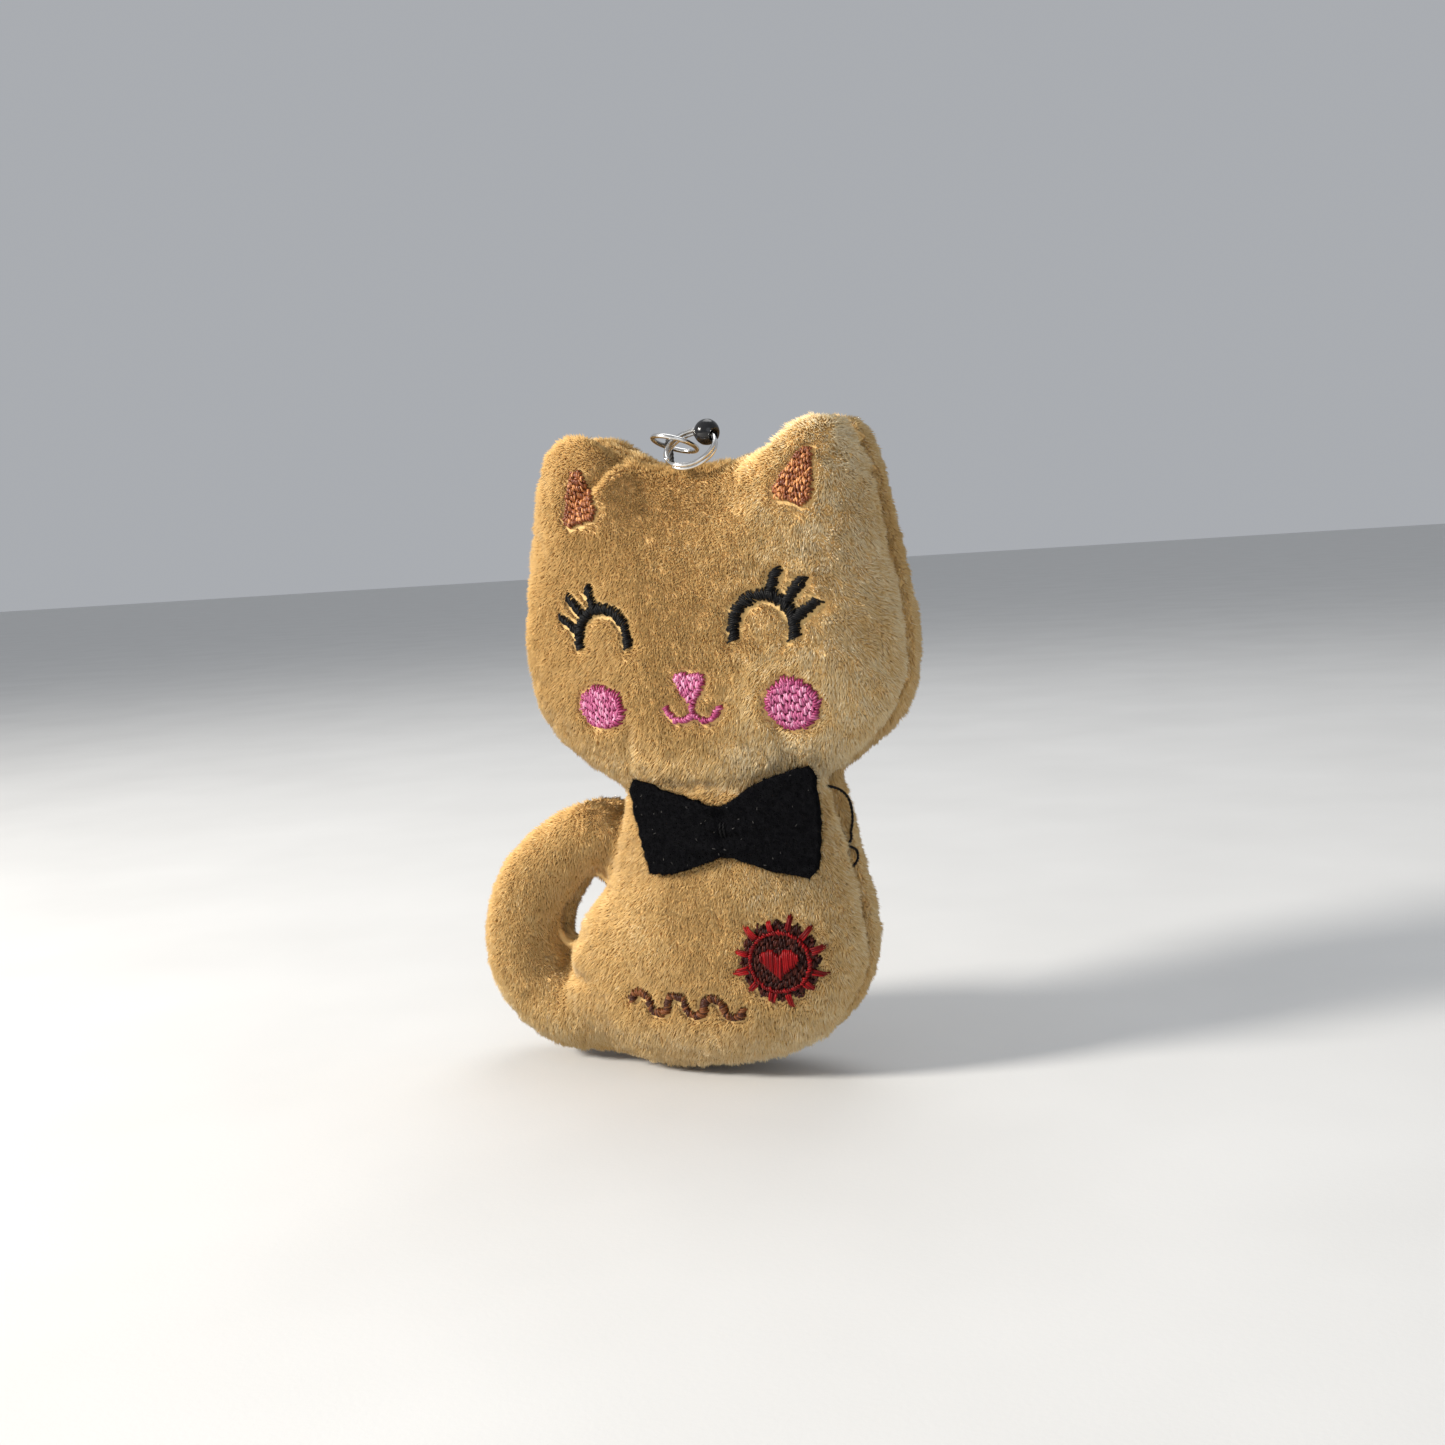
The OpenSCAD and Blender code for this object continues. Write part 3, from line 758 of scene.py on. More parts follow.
def sew_nose(tree, rng):
    x, _, z = cad_middle("nose")
    work = Embroidery(Spot(tree, x, z), rng)
    outline = [(-2.5, 1.4), (-1.8, 2.2), (0, 1.75), (1.8, 2.2), (2.5, 1.4), (0.45, -2.2), (-0.45, -2.2)]
    # Slot 2, the palest pink, is partly a painted glint.
    work.sew(across_shape(outline, rng, 88, ragged=0.2, piece=1.5), 0.35, slots=(1, 2))
    edge = np.concatenate([outline, outline[:1]])
    work.sew(across_path(edge, 0.7, rng, 20, 0.45, 0.15), 0.3)
    return work


def sew_mouth(tree, rng):
    stem, curl_r, curl_x = 2.2, 2.6, 2.15
    stem_end = -curl_r * math.sin(math.radians(40))
    x, _, nose_z = cad_middle("nose")
    work = Embroidery(Spot(tree, x, nose_z - 2.2 - stem - stem_end), rng)
    right, left = arc(curl_r, 220, 130, (curl_x, 0)), arc(curl_r, 190, 130, (-curl_x, 0))
    for stroke in ([(0, stem_end + stem), (0, stem_end)], right, left):
        work.sew(across_path(stroke, 0.85, rng, 24, 0.34, 0.17), 0.25)
    return work


def sew_inner_ear(tree, node, shift, lean, rng):
    x, _, z = cad_middle(node)
    work = Embroidery(Spot(tree, x + shift[0], z + shift[1], lean), rng)
    half = [(2.2, -4.1), (2.9, -3.0), (1.6, 1.2), (0.5, 4.1)]
    left = [(-u, v) for u, v in half[::-1]]
    outline = [left[2], left[3], *half, left[0], left[1]]
    work.sew(across_shape(np.array(outline) * 0.9, rng, 0, 0.5), 0.0, base=-0.15)
    fill = across_shape(outline, rng, 90, 0.29, 0.3, piece=1.1)
    # Slot 2, the palest brown, is a painted glint among the fill stitches.
    work.sew(fill, 0.32, radius=0.17, slots=(0, 0, 1, 1, 2))
    edge = np.concatenate([outline, outline[:1]])
    work.sew(across_path(edge, 0.6, rng, 30, 0.5, 0.18), 0.2, slots=(0,))
    return work


PATCH_R = 6.7
SCALLOPS = 12


def sew_patch(tree, rng):
    x, _, z = cad_middle("patch_base")
    spot = Spot(tree, x, z)
    base = Embroidery(spot, rng)
    outline = ring_outline(PATCH_R - 0.55, SCALLOPS, 0.5)
    base.sew(across_shape(outline * 0.92, rng, 20, 0.5), 0.0, base=-0.15)
    base.sew(across_shape(outline, rng, 75, ragged=0.25, piece=1.5), 0.2)
    heart = Embroidery(spot, rng)
    turn = 2 * math.pi * np.arange(48) / 48
    height = 13 * np.cos(turn) - 5 * np.cos(2 * turn) - 2 * np.cos(3 * turn) - np.cos(4 * turn)
    shape = np.stack([16 * np.sin(turn) ** 3, height], 1)
    heart.sew(across_shape(shape * 0.195, rng, 90, ragged=0.1), 0.3, base=0.3)
    stitches = Embroidery(spot, rng)
    rim = arc(4.9, 0, 360, points=60)
    stitches.sew(across_path(rim, 0.8, rng, 40, 0.4, 0.12), 0.2, base=0.3, radius=0.17)
    for i in range(SCALLOPS):
        turn = 2 * math.pi * (i + 0.5 + rng.normal(0, 0.07)) / SCALLOPS
        way = np.array([math.cos(turn), math.sin(turn)])
        reach = rng.uniform(7.1, 8.4)
        for off in (-0.4, -0.13, 0.13, 0.4)[:int(rng.choice((3, 4)))]:
            side = np.array([-way[1], way[0]]) * off
            end = reach - abs(off) + rng.normal(0, 0.2)
            stitches.sew([(way * 5.0 + side * 1.3, way * end + side)], 0.2, base=0.25, radius=0.18)
    return base, heart, stitches


def sew_waves(tree, rng):
    count, radius = 6, 1.7
    x, _, z = cad_middle("wave_stitching")
    work = Embroidery(Spot(tree, x, z), rng)
    for i in range(count):
        off = radius * (2 * i + 1 - count)
        sweep = 180 if i % 2 else -180
        work.sew(across_path(arc(radius, 180, sweep, (off, 0)), 1.3, rng, 24, 0.34, 0.16), 0.3)
    return work


# ---------------------------------------------------------------- plush

PILE_LENGTH = 1.25
PILE_ROOT = 0.12       # how far into the cloth it goes
PILE_LEAN = 41         # degrees from upright, and how far that varies
PILE_LEAN_SPREAD = 8
SKIN_UNDER = 0.95      # the cloth lies this far under the tips of its pile
SKIN_UNDER_SATIN = 0.75
SATIN_SINK = 0.3       # how far satin pulls the tips of the pile round it in
PILE_PER_MM2 = 20.0
PILE_R = 0.14
PILE_COLOUR = (0.77, 0.515, 0.21)
# Pile colours from golden to cream; the palest ones mostly carry the painted sheen.
PILE_SHADES = (
    (0.60, 0.37, 0.13), (0.68, 0.435, 0.165), (0.75, 0.50, 0.20), (0.81, 0.575, 0.265),
    (0.89, 0.69, 0.385), (0.95, 0.80, 0.54),
)
BOW_BACK = -12.7       # pile behind the bow that reaches past this y is pressed down
LOWEST_TIP = 0.02
NECK_Z = 49.5
BROW_Z = 78
TAIL_X = -17
CLOTH_T = 0.5
HEM = 1.3              # how far the cut edge turns in at the seam
HEM_OFF_SEAM = 0.06
HEM_SPREAD = 0.25


def mark_tree(works):
    """A search tree of the places under satin stitches."""
    marks = np.concatenate([np.concatenate(work.marks) for work in works])
    tree = KDTree(len(marks))
    for i, mark in enumerate(marks):
        tree.insert(mark, i)
    tree.balance()
    return tree


def distance_to_marks(tree, points):
    """Distance from each point to the nearest satin stitch, for points on the front."""
    out = np.full(len(points), 99.0)
    for i in np.flatnonzero(points[:, 1] < -5):
        out[i] = tree.find(points[i])[2]
    return out


def near_satin(distance, full=0.35, reach=1.6):
    """1 on the satin, easing to 0 a little way off it."""
    t = np.clip((reach - distance) / (reach - full), 0, 1)
    return t * t * (3 - 2 * t)


def add_panel(name, node, skin, triangles, side, material):
    """One plush panel: half the skin, its edge turned in at the seam, with the cloth's thickness."""
    normals = normals_of(skin, triangles)
    obj = new_object(name, skin, triangles)
    bm = bmesh.new()
    bm.from_mesh(obj.data)
    inset = bm.verts.layers.float_vector.new("inward")
    bm.verts.ensure_lookup_table()
    flat = unit(normals * (1, 0, 1))
    for vert, direction in zip(bm.verts, flat):
        vert[inset] = -direction
    cut_at(bm, HEM_OFF_SEAM * side * MM, -side)
    edge = [e for e in bm.edges if e.is_boundary]
    hem = bmesh.ops.extrude_edge_only(bm, edges=edge)["geom"]
    for vert in (g for g in hem if isinstance(g, bmesh.types.BMVert)):
        vert.co += vert[inset].normalized() * HEM * MM
        vert.co.y += HEM_SPREAD * side * MM
    bmesh.ops.recalc_face_normals(bm, faces=bm.faces)
    bm.to_mesh(obj.data)
    bm.free()
    solid = obj.modifiers.new("thickness", "SOLIDIFY")
    solid.thickness = CLOTH_T * MM
    solid.offset = -1
    baked(obj)
    obj.data.materials.append(material)
    stand_in(smooth_shaded(obj), node)


def scattered(points, triangles, normals, density, rng):
    """Random places on a skin, with their normals."""
    a, b, c = (points[triangles[:, k]] for k in range(3))
    area = np.linalg.norm(np.cross(b - a, c - a), axis=1) / 2
    count = int(area.sum() * density)
    chosen = np.searchsorted(np.cumsum(area), rng.random(count) * area.sum())
    chosen = triangles[np.minimum(chosen, len(triangles) - 1)]
    u, v = rng.random(count), rng.random(count)
    over = u + v > 1
    u[over], v[over] = 1 - u[over], 1 - v[over]
    share = np.stack([1 - u - v, u, v], 1)[:, :, None]
    return (points[chosen] * share).sum(1), unit((normals[chosen] * share).sum(1))


def tufts(name, roots, tips, radius, slots, materials):
    """Thin closed pyramids from roots to tips."""
    count = len(roots)
    along = unit(tips - roots)
    aside = unit(np.cross(along, np.where(np.abs(along[:, 2:]) < 0.8, [[0.0, 0, 1]], [[1.0, 0, 0]])))
    over = np.cross(along, aside)
    spin = hashed(np.repeat(np.arange(count)[:, None], 3, 1), 9)
    turn = 2 * math.pi * (np.arange(3) / 3 + spin[:, None])
    base = roots[:, None] + radius[:, None, None] * (
        aside[:, None] * np.cos(turn)[:, :, None] + over[:, None] * np.sin(turn)[:, :, None])
    points = np.concatenate([base, tips[:, None]], 1).reshape(-1, 3)
    faces = np.array([[0, 2, 1], [0, 1, 3], [1, 2, 3], [2, 0, 3]])
    faces = (faces[None] + 4 * np.arange(count)[:, None, None]).reshape(-1, 3)
    obj = new_object(name, points, faces)
    for material in materials:
        obj.data.materials.append(material)
    obj.data.polygons.foreach_set("material_index", np.repeat(slots, 4).astype(np.int32))
    return obj


def in_head(points):
    return points[:, 2] > NECK_Z - 0.02 * np.abs(points[:, 0])


def painted_sheen(points):
    """Painted sheen on the front's pile, from -1 to 1: paler most at the right, the chin and the foot, and
    darker at the left.
    """
    across = np.tanh((points[:, 0] - 8) / 9)
    head = in_head(points)
    chin = np.exp(-((points[:, 2] - 52) / 8) ** 2)
    foot = 0.8 * np.exp(-((points[:, 2] - 4) / 7) ** 2)
    sheen_field = np.where(head, 1.0, 0.5) * across + 1.2 * np.where(head, chin, foot)
    return np.clip(sheen_field, -1, 1) * (points[:, 1] < 0)


def combed(roots, normals, distance, sheen_field, rng):
    """The tips of the pile: leaning down, in clumps, shorter in the seam and beside satin."""
    count = len(roots)
    nap = np.stack([0.9 * lumps(roots, 16, 21), 0.7 * lumps(roots, 16, 22),
                    -1 + 0.9 * lumps(roots, 19, 23)], 1)
    nap = unit(nap - normals * np.sum(nap * normals, 1, keepdims=True))
    lean_noise = PILE_LEAN_SPREAD * lumps(roots, 8, 24) + rng.normal(0, PILE_LEAN_SPREAD, count)
    angle = np.radians(PILE_LEAN + lean_noise)
    angle *= 1 - 0.5 * near_satin(distance, 0.9, 2.0)
    way = normals * np.cos(angle)[:, None] + nap * np.sin(angle)[:, None]
    # Clumps grow a little where the painted sheen field is high.
    clump = np.stack([lumps(roots, 1.5, 25 + k) for k in range(3)], 1) * (0.25 + 0.1 * sheen_field)[:, None]
    length = PILE_LENGTH * (1 + 0.14 * lumps(roots, 1.1, 28) + rng.normal(0, 0.08, count))
    length *= 1 - 0.35 * np.exp(-(roots[:, 1] / 0.7) ** 2)
    length *= np.where(distance < 1.7, 0.86, 1)
    return roots + (way + clump) * length[:, None]


def zones_of(roots):
    """The parts of the toy that the pile is divided over, and the roots that each of them has."""
    front, head = roots[:, 1] < 0, in_head(roots)
    tail = ~head & (roots[:, 0] < TAIL_X)
    right = roots[:, 0] > 0
    high = roots[:, 2] > BROW_Z
    zones = {
        "head_upper_left": head & high & ~right, "head_upper_right": head & high & right,
        "head_lower_left": head & ~high & ~right, "head_lower_right": head & ~high & right,
        "body": ~head & ~tail, "tail": tail,
    }
    faces = {"front": front, "back": ~front}
    return {f"{face}_{zone}": inside & on for zone, inside in zones.items() for face, on in faces.items()}


def add_pile(skin, triangles, outer_normals, marks, materials):
    """Short pile all over the skins, pressed down behind the bow, with painted sheen paler at the right, the
    chin and the foot, and painted shade beside the satin.
    """
    rng = np.random.default_rng(41)
    roots, normals = scattered(skin, triangles, outer_normals, PILE_PER_MM2, rng)
    distance = distance_to_marks(marks, roots)
    keep = distance > SKIN_UNDER_SATIN + 0.1
    roots, normals, distance = roots[keep], normals[keep], distance[keep]
    count = len(roots)

    # Painted sheen: sheen_field makes the pile's colour paler at the right, the chin and the foot.
    sheen_field = painted_sheen(roots)
    tips = combed(roots, normals, distance, sheen_field, rng)
    under = over_bow(roots) & (tips[:, 1] < BOW_BACK)
    tips[under] = roots[under] + (tips[under] - roots[under]) * 0.5
    tips[:, 2] = np.maximum(tips[:, 2], LOWEST_TIP)
    roots = roots - normals * PILE_ROOT

    tone = 0.43 + 0.2 * lumps(roots, 13, 31) + 0.13 * lumps(roots, 1.6, 32) + rng.normal(0, 0.15, count)
    # Painted shade darkens the pile beside the satin, and painted sheen from sheen_field pales it.
    tone += 0.3 * sheen_field - 0.2 * np.exp(-(distance / 1.7) ** 2)
    slots = np.clip((tone * len(PILE_SHADES)).astype(int), 0, len(PILE_SHADES) - 1)
    radius = PILE_R * rng.uniform(0.8, 1.15, count)
    for zone, inside in zones_of(roots).items():
        obj = tufts(f"pile_{zone}", roots[inside], tips[inside], radius[inside], slots[inside], materials)
        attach(obj, TOY)


def add_stuffing(points, triangles, material):
    """Loose fibre filling, a lumpy mass inside the panels."""
    depth = 3.1
    normals = normals_of(points, triangles)
    soft = eased(points, triangles, 30)
    filled = soft - normals_of(soft, triangles) * depth
    filled += normals * (0.5 * lumps(points, 6, 51) + 0.25 * lumps(points, 2.5, 52))[:, None]
    obj = new_object("stuffing_fill", filled, triangles)
    thin = obj.modifiers.new("thin", "DECIMATE")
    thin.ratio = 0.3
    baked(obj)
    obj.data.materials.append(material)
    stand_in(smooth_shaded(obj), "stuffing")


# ---------------------------------------------------------------- thread and cord

def add_twist(parts, path, radius, pitch, plies=2, sides=6):
    """A thread or cord of plies twisted round each other along a path."""
    path, at = resampled(path, pitch / 9)
    along = unit(np.gradient(path, axis=0))
    lift = carried(along, np.array([0.0, 1, 0] if abs(along[0, 1]) < 0.8 else [1.0, 0, 0]))
    side = np.cross(along, lift)
    ply_r = radius * (0.52 if plies == 2 else 0.48)
    for ply in range(plies):
        turn = 2 * math.pi * (at / pitch + ply / plies)
        centre = path + (radius - ply_r) * (lift * np.cos(turn)[:, None] + side * np.sin(turn)[:, None])
        parts.tube(centre, ply_r, sides)


def seam_loops(points, triangles):
    """Closed loops where the skin crosses the seam plane."""
    obj = new_object("cut", points, triangles)
    bm = bmesh.new()
    bm.from_mesh(obj.data)
    cut_at(bm, 0, 1)
    neighbours = {}
    for e in bm.edges:
        if e.is_boundary:
            a, b = e.verts
            neighbours.setdefault(a, []).append(b)
            neighbours.setdefault(b, []).append(a)
    loops, seen = [], set()
    for start in neighbours:
        if start in seen:
            continue
        loop, here = [], start
        while here is not None:
            seen.add(here)
            loop.append(np.array(here.co) / MM)
            here = next((v for v in neighbours[here] if v not in seen), None)
        if len(loop) > 20:
            loops.append(np.array(loop))
    bm.free()
    bpy.data.objects.remove(obj)
    return loops


def add_seam_thread(points, triangles, material):
    """The line of machine stitches at the bottom of the seam's groove."""
    stitch, swing, radius = 2.2, 0.28, 0.17
    parts = Parts()
    for loop in seam_loops(points, triangles):
        ring, at = resampled(np.concatenate([loop, loop[:1]]), 0.37)
        ring[:, 1] = swing * np.sin(math.pi * at / stitch)
        parts.tube(ring[:-1], radius, 6, closed=True, out=(0, 1, 0))
    stand_in(parts.object("seam_stitches", [material]), "seam_thread")


CLOSING_INSET = 0.29   # from the corner of the CAD thread's box to the first stitch
CLOSING_LEAN = -0.34
CLOSING_PITCH = 1.7
CLOSING_REACH = 1.7
CLOSING_LAST = 3
LOOSE_R = 6.2


def add_closing_stitch(tree, material):
    """Hand stitches over the stuffing hole, with the thread's loose end."""
    corners = []
    low, high = cad_box("closing_stitch")
    first = np.array([high[0] - CLOSING_INSET, 0, low[2] + CLOSING_INSET])
    for i in range(CLOSING_LAST + 1):
        corner = first + np.array([CLOSING_LEAN, 0, 1]) * i * CLOSING_PITCH
        corner[1] = CLOSING_REACH if i % 2 else -CLOSING_REACH
        hit = tree.find_nearest(Vector(corner))
        corners.append(np.array(hit[0]) - np.array(hit[1]) * 0.25)
    path = []
    for a, b in zip(corners[:-1], corners[1:]):
        for t in np.linspace(0, 1, 8)[:-1]:
            bridge = a + (b - a) * t
            path.append(bridge + np.array([0.45, 0, 0]) * math.sin(math.pi * t))
    last = corners[-1]
    path.append(last)
    heading = math.radians(-115)
    along = np.array([math.cos(heading), math.sin(heading), 0])
    start = math.radians(200)
    for t in np.linspace(0, 1, 24)[1:]:
        turn = start - math.radians(115) * t
        reach = LOOSE_R * (math.cos(turn) - math.cos(start))
        rise = LOOSE_R * (math.sin(turn) - math.sin(start))
        wander = 0.25 * math.sin(9 * t) * t
        path.append(last + along * (reach + wander) + np.array([0.35 * math.sin(math.pi * t), 0, rise]))
    parts = Parts()
    add_twist(parts, path, 0.27, 1.5)
    stand_in(parts.object("closing_thread", [material]), "closing_stitch")


# ---------------------------------------------------------------- bow tie

BOW_MIDDLE = cad_middle("bow_tie")
BOW_TILT = math.radians(-1.2)
FELT_T = 1.15
FUZZ_PER_MM2 = 26
EDGE_FIBRES = 2600
LINT_SPECKS = 34
BOW_LEFT = [(0, -14.3), (0.3, -15.2), (0.62, -16.2), (0.86, -16.7), (0.95, -16.3), (1, -15.5)]
BOW_RIGHT = [(0, 14.0), (0.06, 15.2), (0.3, 16.1), (0.55, 16.4), (0.9, 16.0), (0.97, 15.7), (1, 15.0)]
BOW_TOP = [(-17, 8.9), (-15, 8.1), (-10, 6.5), (-5, 4.9), (-1.5, 3.8), (0, 3.7), (1.5, 4.4), (5, 6.7),
           (9, 8.4), (13, 9.5), (17, 9.9)]
BOW_BOTTOM = [(-17, -6.9), (-13, -7.3), (-9, -7.1), (-5, -5.9), (-1.5, -4.7), (0.5, -4.5), (2, -4.8),
              (6, -6.0), (10, -7.2), (14, -7.9), (17, -7.6)]


def from_table(table, at):
    keys, values = np.array(table, float).T
    return np.interp(at, keys, values)


def bow_place(u, v, out):
    """A point of the bow's own plane, raised by out towards the viewer, in the toy's frame."""
    x = u * math.cos(BOW_TILT) + v * math.sin(BOW_TILT)
    z = -u * math.sin(BOW_TILT) + v * math.cos(BOW_TILT)
    return BOW_MIDDLE + np.stack([x, -out, z], -1)


def flat_points(u, v):
    return np.stack([u, v, np.zeros_like(u)], -1).reshape(-1, 3)


def bow_relief(u, v):
    """How far the felt's middle layer stands out at [u, v]: pinched at the waist, its ends bent back."""
    bend = -1.1 * (np.abs(u) / 16) ** 1.8
    pinch = np.exp(-(u / 3.2) ** 2)
    pleats = 0.34 * pinch * np.cos(2 * math.pi * (v - 0.4) / 3.4)
    sink = -0.45 * np.exp(-(u / 1.2) ** 2)
    wave = (0.3 * lumps(flat_points(u, v) + 50, 9, 61)).reshape(u.shape)
    return 0.25 + bend + pleats + sink + wave


def over_bow(points):
    """True where a point is behind the bow."""
    flat = points - BOW_MIDDLE
    u = flat[:, 0] * math.cos(BOW_TILT) - flat[:, 2] * math.sin(BOW_TILT)
    v = flat[:, 0] * math.sin(BOW_TILT) + flat[:, 2] * math.cos(BOW_TILT)
    return (np.abs(u) < 17) & (v < from_table(BOW_TOP, u) + 0.4) & (v > from_table(BOW_BOTTOM, u) - 0.4)


def bow_grid(columns, rows):
    """Rows of [u, v] from the bow's lower edge to its upper one."""
    share, t = np.meshgrid(np.linspace(0, 1, columns), np.linspace(0, 1, rows))
    u = from_table(BOW_LEFT, t) * (1 - share) + from_table(BOW_RIGHT, t) * share
    v = from_table(BOW_BOTTOM, u) * (1 - t) + from_table(BOW_TOP, u) * t
    return u, v


def bow_fuzz(front, back, front_faces, border, rng, materials):
    """Loose fibres all over the front of the felt, and longer ones round its edge."""
    sheet = new_object("sheet", front, front_faces)
    triangles = triangles_of(sheet.data)
    bpy.data.objects.remove(sheet)
    roots, normals = scattered(front, triangles, normals_of(front, triangles), FUZZ_PER_MM2, rng)
    pick = border[rng.integers(0, len(border), EDGE_FIBRES)]
    mix = rng.random((EDGE_FIBRES, 1))
    edge_roots = front[pick] * mix + back[pick] * (1 - mix)
    edge_out = unit(edge_roots - BOW_MIDDLE) * (1, 0.2, 1)
    roots = np.concatenate([roots, edge_roots])
    normals = unit(np.concatenate([normals, edge_out]))
    wild = unit(rng.normal(0, 1, (len(roots), 3)))
    way = unit(normals * 0.55 + wild * 0.75)
    length = rng.uniform(0.25, 0.62, len(roots))
    length[-EDGE_FIBRES:] *= 1.4
    fuzz = tufts("bow_fuzz", roots - normals * 0.05, roots + way * length[:, None],
                 rng.uniform(0.03, 0.055, len(roots)), rng.integers(0, len(materials), len(roots)),
                 materials)
    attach(fuzz, TOY)
    return fuzz


def bow_lint(front, rim, rng, material):
    """A few specks of lint on the felt, away from its edge."""
    specks = Parts()
    t = np.linspace(0, 1, 5)
    for _ in range(LINT_SPECKS):
        k = rng.integers(0, len(front))
        if rim[k] < 2:
            continue
        turn, length = rng.uniform(0, 2 * math.pi), rng.uniform(0.15, 0.5)
        turn = turn + rng.normal(0, 0.25) * t
        reach = length * t
        arch = -0.12 - 0.08 * np.sin(math.pi * t)
        off = np.stack([np.cos(turn) * reach, arch, np.sin(turn) * reach], 1)
        specks.tube(front[k] + off, rng.uniform(0.018, 0.034), 5)
    dust = specks.object("bow_lint", [material])
    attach(dust, TOY)
    return dust


def add_bow(felt, fuzz_materials, lint):
    """The felt, gathered at the waist, with frayed edges, loose fibres and a little lint."""
    columns, rows = 91, 45
    u, v = bow_grid(columns, rows)
    flat = flat_points(u, v)
    row, column = np.indices(u.shape)
    rim = np.minimum(np.minimum(row, rows - 1 - row), np.minimum(column, columns - 1 - column))
    nibble = lumps(flat, 0.9, 62).reshape(u.shape) * (rim == 0) * np.where(u < -10, 0.34, 0.18)
    u, v = u + nibble, v + np.roll(nibble, 1, 1)
    half = FELT_T / 2 * np.where(rim == 0, 0.72, 1)
    nap = 0.07 * lumps(flat, 0.8, 63).reshape(u.shape)
    middle = bow_relief(u, v)
    front = bow_place(u, v, middle + half + nap).reshape(-1, 3)
    back = bow_place(u, v, middle - half).reshape(-1, 3)
    n = rows * columns
    index = np.arange(n).reshape(rows, columns)
    cell = index[:-1, :-1].reshape(-1, 1)
    border = np.concatenate([index[0], index[1:, -1], index[-1, -2::-1], index[-2:0:-1, 0]])
    after = np.roll(border, -1)
    front_faces = cell + (0, 1, columns + 1, columns)
    back_faces = n + cell + (0, columns, columns + 1, 1)
    edge_faces = np.stack([after, border, n + border, n + after], 1)
    bow = new_object("bow_felt", np.concatenate([front, back]),
                     np.concatenate([front_faces, back_faces, edge_faces]))
    bow.data.materials.append(felt)
    stand_in(smooth_shaded(bow), "bow_tie")

    rng = np.random.default_rng(71)
    fuzz = bow_fuzz(front, back, front_faces, border, rng, fuzz_materials)
    dust = bow_lint(front, rim.reshape(-1), rng, lint)


def add_bow_stitch(material):
    """The tacking thread in the pinch of the bow."""
    parts = Parts()
    for off in (-0.32, 0.3):
        path = []
        for v in np.linspace(-1.5, 1.5, 9):
            u = np.array(off + 0.1 * v)
            out = bow_relief(u, np.array(v)) + FELT_T / 2 + 0.1
            dive = 1.2 * max(abs(v) - 1.1, 0) / 0.4
            path.append(bow_place(u, np.array(v), out - dive))
        add_twist(parts, path, 0.24, 1.3)
    stand_in(parts.object("bow_tack", [material]), "bow_stitch")


# ---------------------------------------------------------------- hardware

LOOP_TURN = math.radians(132)
LOOP_R = 1.25
CORD_D = 0.8
LOOP_TOP = cad_box("hanger_loop")[1][2]
LOOP_MIDDLE = np.array([*cad_middle("hanger_loop")[:2], LOOP_TOP - LOOP_R - CORD_D / 2])
JUMP_MIDDLE = cad_middle("jump_ring")
JUMP_TILT = math.radians(20)
JUMP_HEADING = math.radians(55)
JUMP_R = 3.75
JUMP_WIRE = 0.8
SPLIT_MIDDLE = cad_middle("split_ring")
SPLIT_TILT = math.radians(44)
SPLIT_R = 4.15
SPLIT_WIRE = 0.7
BEAD_ANGLE = math.radians(65)
BEAD_D = 4.2
BORE_R = 1.0


def turned(points, axis, angle):
    """Points turned about the x, y or z axis (0, 1 or 2)."""
    c, s = math.cos(angle), math.sin(angle)
    a, b = (axis + 1) % 3, (axis + 2) % 3
    matrix = np.eye(3)
    matrix[a, a] = matrix[b, b] = c
    matrix[a, b], matrix[b, a] = s, -s
    return points @ matrix


def on_split_ring(points):
    return turned(points, 0, SPLIT_TILT) + SPLIT_MIDDLE


def on_jump_ring(points):
    level = turned(points, 2, -JUMP_HEADING)
    return turned(turned(level, 1, JUMP_TILT), 2, JUMP_HEADING) + JUMP_MIDDLE


def add_hanger_loop(material):
    leg = 3.4
    flat = [(-LOOP_R, -leg), (-LOOP_R, -leg / 2)]
    flat += [(LOOP_R * math.cos(a), LOOP_R * math.sin(a)) for a in np.linspace(math.pi, 0, 17)]
    flat += [(LOOP_R, -leg / 2), (LOOP_R, -leg)]
    along = np.array([math.cos(LOOP_TURN), math.sin(LOOP_TURN), 0])
    path = [LOOP_MIDDLE + along * u + np.array([0, 0, v]) for u, v in flat]
    parts = Parts()
    add_twist(parts, path, CORD_D / 2, 1.9, plies=3, sides=7)
    stand_in(parts.object("hanger_cord", [material]), "hanger_loop")


def add_wire(node, path, radius, placed, metal):
    """A wire ring with eased ends, drawn flat and put in its place by the function placed."""
    radius = np.full(len(path), radius)
    radius[[0, -1]] *= 0.72
    axis = placed(np.array([0, 0, 1.0])) - placed(np.zeros(3))
    parts = Parts()
    parts.tube(placed(path), radius, 14, out=axis)
    stand_in(parts.object(f"{node}_wire", [metal]), node, node)


def add_jump_ring(metal):
    """One turn of wire whose ends nearly meet."""
    ease = 0.02
    start = math.radians(72)
    end = start + math.radians(356)
    turn = np.concatenate([[start], np.linspace(start + ease, end - ease, 110), [end]])
    path = np.stack([JUMP_R * np.cos(turn), JUMP_R * np.sin(turn), np.zeros_like(turn)], 1)
    add_wire("jump_ring", path, JUMP_WIRE / 2, on_jump_ring, metal)


